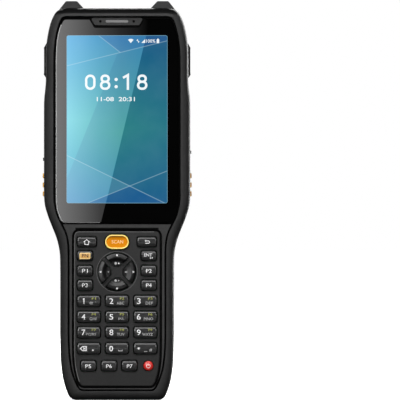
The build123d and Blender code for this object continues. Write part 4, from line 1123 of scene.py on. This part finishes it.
def screw_skin(cx, cz, top, length):
    seg = 24
    prof = [(0.70, top - 1.1 - length), (0.70, top - 1.1), (1.22, top - 1.1), (1.22, top - 0.42), (1.08, top - 0.25),
            (1.04, top - 0.06), (0.99, top), (0.72, top), (0.66, top - 0.1), (0.66, top - 0.7)]
    verts, faces = lathe(prof, cx, cz, seg)
    n = len(prof)
    mats = []
    for k in range(seg):
        for i in range(n - 1):
            mats.append(1 if i == 6 else 0)
    a, b = len(verts), len(verts) + 1
    verts += [(cx, top - 1.1 - length, cz), (cx, top - 0.7, cz)]
    for k in range(seg):
        k2 = (k + 1) % seg
        faces.append((k * n, k2 * n, a))
        faces.append((k * n + n - 1, k2 * n + n - 1, b))
        mats += [0, 0]
    return verts, faces, mats


verts, faces, fmats = [], [], []
for sgn in (1, -1):
    for sx, sz, top, length in ([(x, z, 8.0, 17.0) for x, z in HOUSING_SCREWS] + [(28.6, 196.4, 8.4, 13.5)]
                                + [(18.7, 136.2, 13.2, 4.3), (18.7, 101.0, 13.2, 4.3)]):
        v, f, g = screw_skin(sgn * sx, sz, top, length)
        o0 = len(verts)
        verts += v
        faces += [tuple(i + o0 for i in q) for q in f]
        fmats += g
o = build("case_screws_turned", verts, faces, [M_SCREW_DARK, M_SCREW_RING], "housing", face_mats=fmats)
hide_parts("case_screws")

# thin lines of the back: painted highlights along edges and ribs, and painted shadows along shut lines, gaps and
# grooves
M_LINE_DARK = plastic("seam_painted_shadow", rgb(1, 1, 1), rough=0.7, grain=0.2, spec=0.0, bevel=None)
M_LINE_LIGHT = plastic("edge_painted_highlight", rgb(92, 92, 92), rough=0.4, grain=0.2, spec=0.3, bevel=None)
M_LINE_BRIGHT = plastic("edge_bright", rgb(128, 128, 128), rough=0.3, grain=0.1, spec=0.4, bevel=None)
M_LINE_EDGE = plastic("edge_pale", rgb(186, 186, 186), rough=0.3, grain=0.1, spec=0.4, bevel=None)
M_LINE_SOFT = plastic("edge_painted_highlight_dim", rgb(58, 58, 58), rough=0.4, grain=0.2, spec=0.3, bevel=None)

BATTERY_ARCH = [(0.0, 12.6), (4.5, 12.57), (9.0, 12.48), (11.5, 12.33), (13.8, 12.1), (15.8, 11.82), (17.6, 11.45),
                (19.1, 11.06), (20.4, 10.6), (21.5, 10.08), (22.3, 9.55), (23.25, 8.4)]


def battery_y(x, z=0.0):
    a = abs(x)
    for (x0, y0), (x1, y1) in zip(BATTERY_ARCH, BATTERY_ARCH[1:]):
        if a <= x1:
            return y0 + (y1 - y0) * (a - x0) / (x1 - x0)
    return BATTERY_ARCH[-1][1]


def dense(pts, step=0.8):
    """The same line with more points."""
    out = [pts[0]]
    for (x0, z0), (x1, z1) in zip(pts, pts[1:]):
        n = max(1, int(math.hypot(x1 - x0, z1 - z0) / step))
        for k in range(1, n + 1):
            out.append((x0 + (x1 - x0) * k / n, z0 + (z1 - z0) * k / n))
    return out


flats_d, flats_l = [], []
for gz in (75.65, 58.95, 42.05):
    hw_, hh_, r_ = 19.5, 3.25, 3.1
    top = arc_pts(-hw_ + r_ + 0.2, gz + hh_ - r_ - 0.2, r_, 150, 90, 6) + \
        arc_pts(hw_ - r_ - 0.2, gz + hh_ - r_ - 0.2, r_, 90, 40, 5)
    flats_d.append((stroke(dense(top), 0.62), 0))
    flats_l.append((stroke(dense([(x, z - 0.55) for x, z in top[4:-3]]), 0.3), 1))
    bot = [(-9.0, gz - hh_ - 0.12)] + [(-x, z) for x, z in arc_pts(hw_ - r_ + 0.1, gz - hh_ + r_ - 0.12, r_, 270, 350, 7)]
    flats_l.append((stroke(dense(bot), 0.4), 0))
    flats_l.append((stroke(dense([(16.5, gz - hh_ + 0.2), (-9.0, gz - hh_ + 0.2)]), 0.3), 1))
decal("battery_grip_shadow", flats_d, [M_LINE_DARK], "battery", yfun=lambda x, z: battery_y(x), lift=0.05,
      depth=0.12, back=True)
decal("battery_grip_lights", [f for f in flats_l if f[1] == 0], [M_LINE_LIGHT], "battery",
      yfun=lambda x, z: battery_y(x), lift=0.05, depth=0.12, back=True)
decal("battery_grip_floor_lights", [(f[0], 0) for f in flats_l if f[1] == 1], [M_LINE_SOFT], "battery",
      yfun=lambda x, z: battery_y(x) - 0.8, lift=0.05, depth=0.12, back=True)
ribs = []
for rx in (-8.6, 8.6):
    ribs.append((stroke(dense([(rx + 0.62, 27.4), (rx + 0.62, 33.1)]), 0.3), 0))
decal("battery_rib_lights", ribs, [M_LINE_LIGHT], "battery", yfun=lambda x, z: 12.4, lift=0.03, depth=0.08, back=True)


def spine_y(x, z=0.0):
    a = abs(x) - 19.0
    return 15.0 if a <= 0 else 10.4 + math.sqrt(max(0.0, 4.6 * 4.6 - a * a))


def pod_y(x, z):
    """Rear face of the pod at height z."""
    pts = [(91.0, 12.7), (99.0, 15.0), (104.0, 15.3), (139.5, 17.0), (147.4, 17.0), (148.9, 15.6)]
    for (z0, y0), (z1, y1) in zip(pts, pts[1:]):
        if z <= z1:
            return y0 + (y1 - y0) * max(0.0, z - z0) / (z1 - z0)
    return 15.0


# painted shadow along the shut lines between the battery and the pod
crescent = [(-23.4, 96.2), (-20.5, 94.05), (-18.6, 93.0), (-16.5, 92.1), (-14.4, 91.5), (-12.1, 91.25)]
crescent = crescent + [(-x, z) for x, z in reversed(crescent)]
for side_, pts in (("left", crescent[6:]), ("right", crescent[:6])):
    decal("battery_shut_line_" + side_, [(stroke(dense(pts), 0.5), 0)], [M_LINE_DARK], "housing", yfun=pod_y,
          lift=0.04, depth=0.1, back=True)
# painted shadow in the gap round the rear window
surround = outline(0, 172.15, 15.92, 21.57, 3.9, 8, 6)
decal("rear_window_surround", [(stroke(surround, 0.62, True), 0)], [M_LINE_DARK], "housing", yfun=spine_y, lift=0.02,
      depth=0.1, back=True)
edge_l = [(15.25, 180.9), (15.25, 154.7)] + arc_pts(12.05, 154.5, 3.2, 0, -90, 8) + [(0.95, 151.3)]
decal("rear_window_edge_light", [(stroke(dense(edge_l, 2.0), 0.34), 0)], [M_LINE_BRIGHT], "housing",
      yfun=lambda x, z: PLATE_Y, lift=0.03, depth=0.06, back=True)
rim = [(-21.0, 134.6), (-20.45, 138.2), (-18.4, 140.65), (-15.7, 141.8), (-12.4, 142.1)]
rim = rim + [(-x, z) for x, z in reversed(rim)]
decal("arch_rim_light", [(stroke(dense(rim), 0.3), 0)], [M_LINE_SOFT], "housing", yfun=pod_y, lift=0.04, depth=0.1,
      back=True)
# painted shadow along the creases above the pod's corners; a painted highlight runs beside one of them
corner_line = [(17.1, 149.25), (19.7, 148.5), (22.0, 146.35), (23.3, 143.9)]
decal("pod_crease", [(stroke(dense(corner_line, 0.5), 0.5), 0),
                     (stroke(dense([(-x, z) for x, z in corner_line], 0.5), 0.5), 0)],
      [M_LINE_DARK], "housing", yfun=spine_y, lift=0.06, depth=0.12, back=True)
decal("pod_crease_light", [(stroke(dense([(-20.4, 148.6), (-22.4, 146.6), (-23.2, 144.9)], 0.5), 0.4), 0)],
      [M_LINE_LIGHT], "housing", yfun=spine_y, lift=0.06, depth=0.12, back=True)
decal("spine_edge_light", [(stroke(dense([(-23.18, 188.5), (-23.18, 144.0)], 2.0), 0.42), 0)], [M_LINE_EDGE],
      "housing", yfun=spine_y, lift=0.08, depth=0.35, back=True)
decal("notch_lip_light", [(stroke(dense([(14.6, 194.45), (-14.6, 194.45)], 2.0), 0.3), 0)], [M_LINE_LIGHT], "housing",
      yfun=lambda x, z: 15.0, lift=0.04, depth=0.1, back=True)
for side_, sg in (("left", 1), ("right", -1)):
    mt = M_LINE_EDGE if sg > 0 else M_LINE_BRIGHT
    decal("bumper_edge_light_" + side_,
          [(stroke(dense([(sg * 24.35, 200.6), (sg * 24.35, 185.85), (sg * 31.5, 185.85)], 1.5), 0.4), 0)], [mt],
          "housing", yfun=lambda x, z: 9.2, lift=0.03, depth=0.2, back=True)
for side_, sg in (("left", -1), ("right", 1)):
    knob = [(sg * 27.0 + x, z) for x, z in outline(0, 48.0, 1.22, 10.05, 1.18, 6, 6)]
    decal("latch_edge_light_" + side_, [(stroke(knob, 0.2, True), 0)], [M_LINE_SOFT], "latch_" + side_,
          yfun=lambda x, z: 9.3, lift=0.03, depth=0.08, back=True)
decal("lanyard_lip_light", [(stroke(dense([(-9.6, 6.5), (10.0, 6.5)]), 0.34), 0)], [M_LINE_BRIGHT], "housing",
      yfun=lambda x, z: 8.5, lift=0.04, depth=0.1, back=True)

# ==================================================================== screen
GLASS_Y = -15.9


def screen_mat():
    m = Net("screen_picture")
    b = m.bsdf
    x, y, z = m.xyz()
    u = m.maprange(x, -0.0259, 0.0259, 0.0, 1.0)
    v = m.maprange(z, 0.10135, 0.1877, 0.0, 1.0)

    def facet(nx, nz, d, w=0.00025):
        """1 on the side of the line nx*x + nz*z > d, 0 on the other."""
        s = m.math("ADD", m.math("MULTIPLY", x, nx), m.math("MULTIPLY", z, nz))
        s = m.math("SUBTRACT", s, d)
        return m.maprange(s, -w, w, 0.0, 1.0, True), s

    left = m.ramp(v, [(0.0, rgb(58, 150, 204)), (0.25, rgb(80, 184, 208)), (0.5, rgb(112, 208, 222)),
                      (0.75, rgb(84, 184, 216)), (1.0, rgb(64, 168, 220))])
    middle = m.ramp(v, [(0.0, rgb(58, 140, 176)), (0.42, rgb(84, 176, 166)), (1.0, rgb(62, 140, 184))])
    right = m.ramp(v, [(0.0, rgb(28, 94, 134)), (0.45, rgb(48, 136, 126)), (1.0, rgb(28, 92, 134))])
    edge_right = m.ramp(v, [(0.0, rgb(26, 90, 134)), (0.45, rgb(40, 122, 128)), (1.0, rgb(20, 82, 124))])
    col_l = m.mix(m.maprange(u, 0.0, 0.55, 0.0, 1.0), left, middle)
    col_r = m.mix(m.maprange(u, 0.5, 1.0, 0.0, 1.0), right, edge_right)
    diag = m.math("SUBTRACT", x, m.math("MULTIPLY", m.math("SUBTRACT", z, 0.103), 0.2393))
    col = m.mix(m.maprange(diag, -0.0053, -0.0051, 0.0, 1.0), col_l, col_r)
    # large crossing facets, each a little lighter or darker than its neighbour
    def toward(col, mask, c, amount):
        return m.mix(m.math("MULTIPLY", mask, amount), col, c)

    deg = math.radians

    def line(px, pz, ang):
        nx, nz = -math.sin(deg(ang)), math.cos(deg(ang))
        return nx, nz, (nx * px + nz * pz) * MM

    fa, sa_ = facet(*line(-25.9, 172.0, 14))
    fb, sb_ = facet(*line(25.9, 160.0, -38))
    fc, sc_ = facet(*line(-25.9, 126.0, -26))
    fd, sd_ = facet(*line(25.9, 118.0, 22))
    fe, se_ = facet(*line(4.0, 187.7, 68))
    inv = lambda s: m.math("SUBTRACT", 1.0, s)
    mask1 = m.math("MULTIPLY", fa, fb)
    col = toward(col, mask1, rgb(30, 84, 160), 0.38)
    mask2 = m.math("MULTIPLY", inv(fc), inv(fd))
    col = toward(col, mask2, rgb(24, 78, 150), 0.42)
    mask3 = m.math("MULTIPLY", inv(fa), inv(fe))
    col = toward(col, mask3, rgb(20, 96, 150), 0.22)
    mask4 = m.math("MULTIPLY", inv(fc), fd)
    col = toward(col, mask4, rgb(120, 190, 214), 0.18)
    grain = m.noise(60, 3.0, 0.5)
    col = m.mix(m.maprange(grain, 0.3, 0.7, 0.0, 0.06), col, rgb(150, 200, 214))
    # fine light lines where facets meet
    for s, gate, amt in ((sa_, None, 0.30), (sb_, fa, 0.30), (sc_, None, 0.34), (sd_, None, 0.30)):
        near = m.maprange(m.math("ABSOLUTE", s), 0.00008, 0.00034, 1.0, 0.0, True)
        if gate is not None:
            near = m.math("MULTIPLY", near, gate)
        col = m.mix(m.math("MULTIPLY", near, amt), col, rgb(190, 226, 238))
    b.inputs["Base Color"].default_value = (0.0, 0.0, 0.0, 1.0)
    m.link(m.mix(1.0, col, (0.02, 0.02, 0.02, 1.0), "MULTIPLY"), b.inputs["Base Color"])
    m.link(col, b.inputs["Emission Color"])
    b.inputs["Emission Strength"].default_value = 0.96
    b.inputs["Roughness"].default_value = 0.0
    b.inputs["Specular IOR Level"].default_value = 0.5
    return m.mat


M_SCREEN = screen_mat()


def glow(name, color, strength=1.0):
    m = Net(name)
    n = m.noise(1500, 2.0)
    col = m.mix(m.maprange(n, 0.3, 0.7, 0.0, 1.0), tuple(c * 0.96 for c in color[:3]) + (1.0,), color)
    m.bsdf.inputs["Base Color"].default_value = (0.02, 0.02, 0.02, 1.0)
    m.link(col, m.bsdf.inputs["Emission Color"])
    m.bsdf.inputs["Emission Strength"].default_value = strength
    m.bsdf.inputs["Roughness"].default_value = 0.05
    return m.mat


# painted highlights: thin lighter strips along the edges of the panel and the glass
PANEL_EDGE = [(16.8, 7.2), (18.0, 7.45), (18.9, 8.2), (19.6, 9.5), (20.2, 11.2), (20.8, 13.4), (21.35, 16.2),
              (21.75, 19.2), (22.0, 22.6), (22.1, 27.0), (22.1, 40.0), (22.1, 60.0), (22.1, 76.0), (22.1, 82.5),
              (22.03, 84.6), (21.6, 85.9), (20.8, 86.65), (19.4, 86.9)]
GLASS_EDGE = [(26.4, 91.2), (27.6, 91.35), (28.5, 92.1), (29.4, 93.6), (30.3, 95.9), (31.0, 98.6), (31.4, 101.8),
              (31.5, 106.0), (31.5, 120.0), (31.5, 140.0), (31.5, 158.0), (31.5, 170.0), (31.45, 176.0), (31.3, 181.0),
              (30.95, 184.8), (30.4, 188.2), (29.7, 191.0), (28.95, 193.2), (28.2, 194.8), (27.3, 195.85), (26.0, 196.2)]


def inward(pts, d):
    """The line moved towards the middle by d."""
    out = []
    for i, (x, z) in enumerate(pts):
        a, b = pts[max(0, i - 1)], pts[min(len(pts) - 1, i + 1)]
        tx, tz = b[0] - a[0], b[1] - a[1]
        n = math.hypot(tx, tz)
        out.append((x - tz / n * d, z + tx / n * d))
    return out


M_EDGE_PANEL = plastic("panel_edge_grey", rgb(80, 80, 80), rough=0.4, grain=0.2, spec=0.2, bevel=None)
M_EDGE_GLASS = plastic("glass_edge_pale", rgb(156, 156, 156), rough=0.3, grain=0.1, spec=0.3, bevel=None)
M_EDGE_GLASS2 = plastic("glass_edge_dim", rgb(92, 92, 92), rough=0.3, grain=0.1, spec=0.3, bevel=None)
pe = [(-x, z) for x, z in inward(PANEL_EDGE, 0.28)]
decal("panel_edge_light", [(stroke(dense(pe[3:], 1.5) + dense([(-18.0, 86.62), (19.0, 86.62)], 3.0), 0.42), 0)],
      [M_EDGE_PANEL], "housing", yfun=lambda x, z: -15.6, lift=0.02, depth=0.34)
ge = [(-x, z) for x, z in inward(GLASS_EDGE, 0.25)]
decal("glass_edge_left", [(stroke(dense(ge[2:-3], 1.5), 0.42), 0)], [M_EDGE_GLASS], "housing",
      yfun=lambda x, z: -15.9, lift=0.02, depth=0.38)
decal("glass_edge_bottom", [(stroke(dense([(-8.7, 91.45), (-26.4, 91.45)] + ge[1:3], 1.5), 0.4), 0)], [M_EDGE_GLASS2],
      "housing", yfun=lambda x, z: -15.9, lift=0.02, depth=0.38)

decal("nav_ring_light", [(stroke([(x, z + NAVZ) for x, z in arc_pts(0, 0, 10.45, 0, 355, 71)], 0.3, True), 0)],
      [M_EDGE_PANEL], "housing", yfun=lambda x, z: -15.6, lift=0.02, depth=0.1)

# painted shade along the lower edge of the glass on the right
decal("glass_edge_low_right", [(stroke(dense([(26.2, 91.45), (-8.4, 91.45)], 2.5), 0.4), 0)], [M_LINE_DARK],
      "housing", yfun=lambda x, z: -15.9, lift=0.02, depth=0.38)

M_WHITE_PIX = glow("pixels_white", rgb(244, 250, 252), 0.98)
M_EDGE_PIX = glow("pixels_edge", rgb(120, 176, 200), 0.9)

decal("screen_picture", [(shape(outline(0, 144.52, 25.95, 43.17, 1.0, 5, 4)), 0)], [M_SCREEN], "housing",
      yfun=lambda x, z: GLASS_Y, lift=0.012, depth=0.05)
edge = outline(0, 144.52, 25.85, 43.07, 0.95, 5, 4)
decal("screen_edge_line", [(stroke(edge, 0.2, True), 0)], [M_EDGE_PIX], "housing",
      yfun=lambda x, z: GLASS_Y, lift=0.02, depth=0.03)
# clock, date and status marks
def clock_digit(d, cx, cz, w=5.4, h=7.9, t=1.2):
    """Thin round-ended numeral drawn as one or two strips."""
    hw, hh = (w - t) / 2, (h - t) / 2
    if d == "0":
        pts = [(cx + x, cz + z) for x, z in outline(0, 0, hw, hh, hw - 0.01, 10, 2)]
        return [stroke(pts, t, True)]
    if d == "1":
        return [stroke([(cx - 2.2, cz + hh - 1.1), (cx + 0.3, cz + hh + 0.3), (cx + 0.3, cz - hh - t / 2)], t)]
    if d == "8":
        a, b = hh * 0.465, hh * 0.535
        up = [(cx + x, cz + hh - a + z) for x, z in outline(0, 0, hw - 0.3, a, a - 0.02, 8, 2)]
        lo = [(cx + x, cz - hh + b + z) for x, z in outline(0, 0, hw, b, b - 0.02, 8, 2)]
        return [stroke(up, t, True), stroke(lo, t, True)]


flats = []
for d, cx in (("0", -13.75), ("8", -6.1), ("1", 5.3), ("8", 12.95)):
    for s in clock_digit(d, cx, 163.6):
        flats.append((s, 0))
for cz in (161.3, 165.0):
    flats.append((shape(arc_pts(-0.45, cz, 0.85, 0, 345, 23)), 0))
decal("screen_clock", flats, [M_WHITE_PIX], "housing", yfun=lambda x, z: GLASS_Y, lift=0.022, depth=0.03)
decal("screen_date", [(lettering("11-08  20:31", -0.6, 154.9, 2.2, 19.6, 0.015), 0)], [M_WHITE_PIX],
      "housing", yfun=lambda x, z: GLASS_Y, lift=0.022, depth=0.03)
fan = [(7.1, 183.75)] + arc_pts(7.1, 183.75, 2.15, 50, 130, 8)
bars = [(12.5, 183.8), (14.5, 183.8), (14.5, 185.8)]
flats = [(shape(fan), 0), (shape(bars), 0),
         (shape([(10.0, 184.9), (11.0, 184.9), (10.5, 185.8)]), 0),
         (shape([(10.6, 184.7), (11.6, 184.7), (11.1, 183.8)]), 0),
         (lettering("100%", 17.35, 184.8, 1.75, 4.7, 0.01), 0),
         (shape(outline(21.05, 184.7, 0.65, 1.0, 0.15, 3, 1)), 0),
         (shape([(20.75, 185.72), (21.35, 185.72), (21.35, 186.02), (20.75, 186.02)]), 0)]
decal("screen_status", flats, [M_WHITE_PIX], "housing", yfun=lambda x, z: GLASS_Y, lift=0.022, depth=0.03)


# ============================================================ floor and light
def stage_plane(name, loc, size, mat, rot=(0, 0, 0)):
    bpy.ops.mesh.primitive_plane_add(size=1, location=loc, rotation=rot)
    o = bpy.context.object
    o.name = name
    o.scale = (size[0], size[1], 1)
    o.data.materials.append(mat)
    return o


fm = Net("floor_white")
fn = fm.noise(6, 3.0)
fm.link(fm.mix(fm.maprange(fn, 0.3, 0.7, 0, 1), (0.86, 0.86, 0.86, 1), (0.9, 0.9, 0.9, 1)),
        fm.bsdf.inputs["Base Color"])
fm.bsdf.inputs["Roughness"].default_value = 0.9
fx, fy, fz = fm.xyz()
fm.bsdf.inputs["Emission Color"].default_value = (1, 1, 1, 1)
fd = fm.math("SQRT", fm.math("ADD", fm.math("MULTIPLY", fx, fx), fm.math("MULTIPLY", fy, fy)))
fm.link(fm.maprange(fd, 0.15 / 30, 1.2 / 30, 0.72, 1.0, True), fm.bsdf.inputs["Emission Strength"])
floor = stage_plane("floor", (0, 0, 0), (30, 30), fm.mat)
floor.visible_glossy = False
floor.visible_diffuse = False

world = bpy.data.worlds.new("studio")
scene.world = world
world.use_nodes = True
wt = world.node_tree
wt.nodes.clear()
out = wt.nodes.new("ShaderNodeOutputWorld")
bg_cam = wt.nodes.new("ShaderNodeBackground")
bg_cam.inputs["Color"].default_value = (1, 1, 1, 1)
bg_cam.inputs["Strength"].default_value = 1.0
bg_env = wt.nodes.new("ShaderNodeBackground")
bg_env.inputs["Strength"].default_value = 1.0
path = wt.nodes.new("ShaderNodeLightPath")
mixs = wt.nodes.new("ShaderNodeMixShader")
wc = wt.nodes.new("ShaderNodeTexCoord")
sep = wt.nodes.new("ShaderNodeSeparateXYZ")
wt.links.new(wc.outputs["Generated"], sep.inputs[0])
zr = wt.nodes.new("ShaderNodeMapRange")
zr.inputs["From Min"].default_value = -0.2
zr.inputs["From Max"].default_value = 0.9
zr.inputs["To Min"].default_value = 0.006
zr.inputs["To Max"].default_value = 0.05
wt.links.new(sep.outputs[2], zr.inputs["Value"])
comb = wt.nodes.new("ShaderNodeCombineColor")
for i in range(3):
    wt.links.new(zr.outputs[0], comb.inputs[i])
wt.links.new(comb.outputs[0], bg_env.inputs["Color"])
wt.links.new(path.outputs["Is Camera Ray"], mixs.inputs[0])
wt.links.new(bg_env.outputs[0], mixs.inputs[1])
wt.links.new(bg_cam.outputs[0], mixs.inputs[2])
wt.links.new(mixs.outputs[0], out.inputs[0])


def area(name, loc, target, w, h, power, color=(1, 1, 1)):
    d = bpy.data.lights.new(name, "AREA")
    d.shape = "RECTANGLE"
    d.size, d.size_y = w, h
    d.energy = power
    d.color = color
    o = bpy.data.objects.new(name, d)
    o.location = loc
    o.rotation_euler = (Vector(target) - Vector(loc)).to_track_quat("-Z", "Y").to_euler()
    o.visible_camera = False
    scene.collection.objects.link(o)
    return o


area("front_high_box", (-0.15, -1.25, 1.5), (0, 0, 0.1), 1.5, 0.8, 36)
area("front_left_box", (-0.75, -2.3, 0.75), (0, 0, 0.1), 0.7, 1.0, 20)
area("front_right_box", (0.75, -2.3, 0.55), (0, 0, 0.1), 0.7, 1.0, 12)
area("front_low_box", (0.0, -2.0, -0.75), (0, 0, 0.1), 1.0, 0.4, 6)
area("back_high_box", (0.35, 2.1, 0.95), (0, 0, 0.1), 1.3, 0.7, 30)
area("back_left_box", (1.0, 2.1, 0.45), (0, 0, 0.1), 0.7, 1.0, 26)
area("back_right_box", (-0.7, 2.3, 0.3), (0, 0, 0.1), 0.6, 0.8, 4)


# a soft card at the camera's side of the room that only the polished glass mirrors
def card_mat():
    m = Net("card_soft")
    b = m.bsdf
    x, y, z = m.xyz()
    b.inputs["Base Color"].default_value = (0, 0, 0, 1)
    b.inputs["Specular IOR Level"].default_value = 0.0
    fall = m.ramp(m.maprange(x, -0.105, -0.010, 0.0, 1.0),
                  [(0.0, (1, 1, 1, 1)), (0.15, (0.76, 0.76, 0.76, 1)), (0.36, (0.43, 0.43, 0.43, 1)),
                   (0.47, (0.27, 0.27, 0.27, 1)), (0.69, (0.115, 0.115, 0.115, 1)),
                   (0.9, (0.04, 0.04, 0.04, 1)), (1.0, (0.0, 0.0, 0.0, 1))])
    m.link(fall, b.inputs["Emission Color"])
    b.inputs["Emission Strength"].default_value = 4.5
    return m.mat


cm = bpy.data.meshes.new("reflect_card")
cm.from_pydata([(-0.190, 0, 0.030), (-0.0714, 0, 0.030), (0.0015, 0, 0.330), (-0.190, 0, 0.330)], [], [(0, 1, 2, 3)])
cm.materials.append(card_mat())
card = bpy.data.objects.new("reflect_card", cm)
card.location = (0, -5.16, 0)
scene.collection.objects.link(card)
card.visible_camera = False
card.visible_diffuse = False
card.visible_shadow = False

bm2 = Net("back_card_soft")
_x, _y, _z = bm2.xyz()
bm2.bsdf.inputs["Base Color"].default_value = (0, 0, 0, 1)
bm2.bsdf.inputs["Specular IOR Level"].default_value = 0.0
bm2.link(bm2.ramp(bm2.maprange(_x, 0.0, 0.032, 0.0, 1.0), [(0.0, (0.62, 0.62, 0.62, 1)), (0.5, (0.68, 0.68, 0.68, 1)),
                                                           (1.0, (1.0, 1.0, 1.0, 1))]),
         bm2.bsdf.inputs["Emission Color"])
bm2.bsdf.inputs["Emission Strength"].default_value = 5.4
cm = bpy.data.meshes.new("back_card")
cm.from_pydata([(0.0309, 0, -0.3), (0.4, 0, -0.3), (0.4, 0, 1.1), (-0.051, 0, 1.1)], [], [(0, 1, 2, 3)])
cm.materials.append(bm2.mat)
card2 = bpy.data.objects.new("back_card", cm)
card2.location = (0, 5.16, 0)
scene.collection.objects.link(card2)
card2.visible_camera = False
card2.visible_diffuse = False
card2.visible_shadow = False

# ==================================================================== camera
cam_data = bpy.data.cameras.new("camera")
cam = bpy.data.objects.new("camera", cam_data)
scene.collection.objects.link(cam)
cam_data.sensor_width = 36.0
cam_data.lens = 900.0
FRAME_W = 0.206                      # width of the view at the device's front, metres
DIST = FRAME_W * 900.0 / 36.0
cam.location = ((200 - 117.1) * 0.515 * MM, -DIST - 0.010, 0.1030)
cam.rotation_euler = (math.pi / 2, 0, 0)
cam_data.clip_end = 100.0
scene.camera = cam
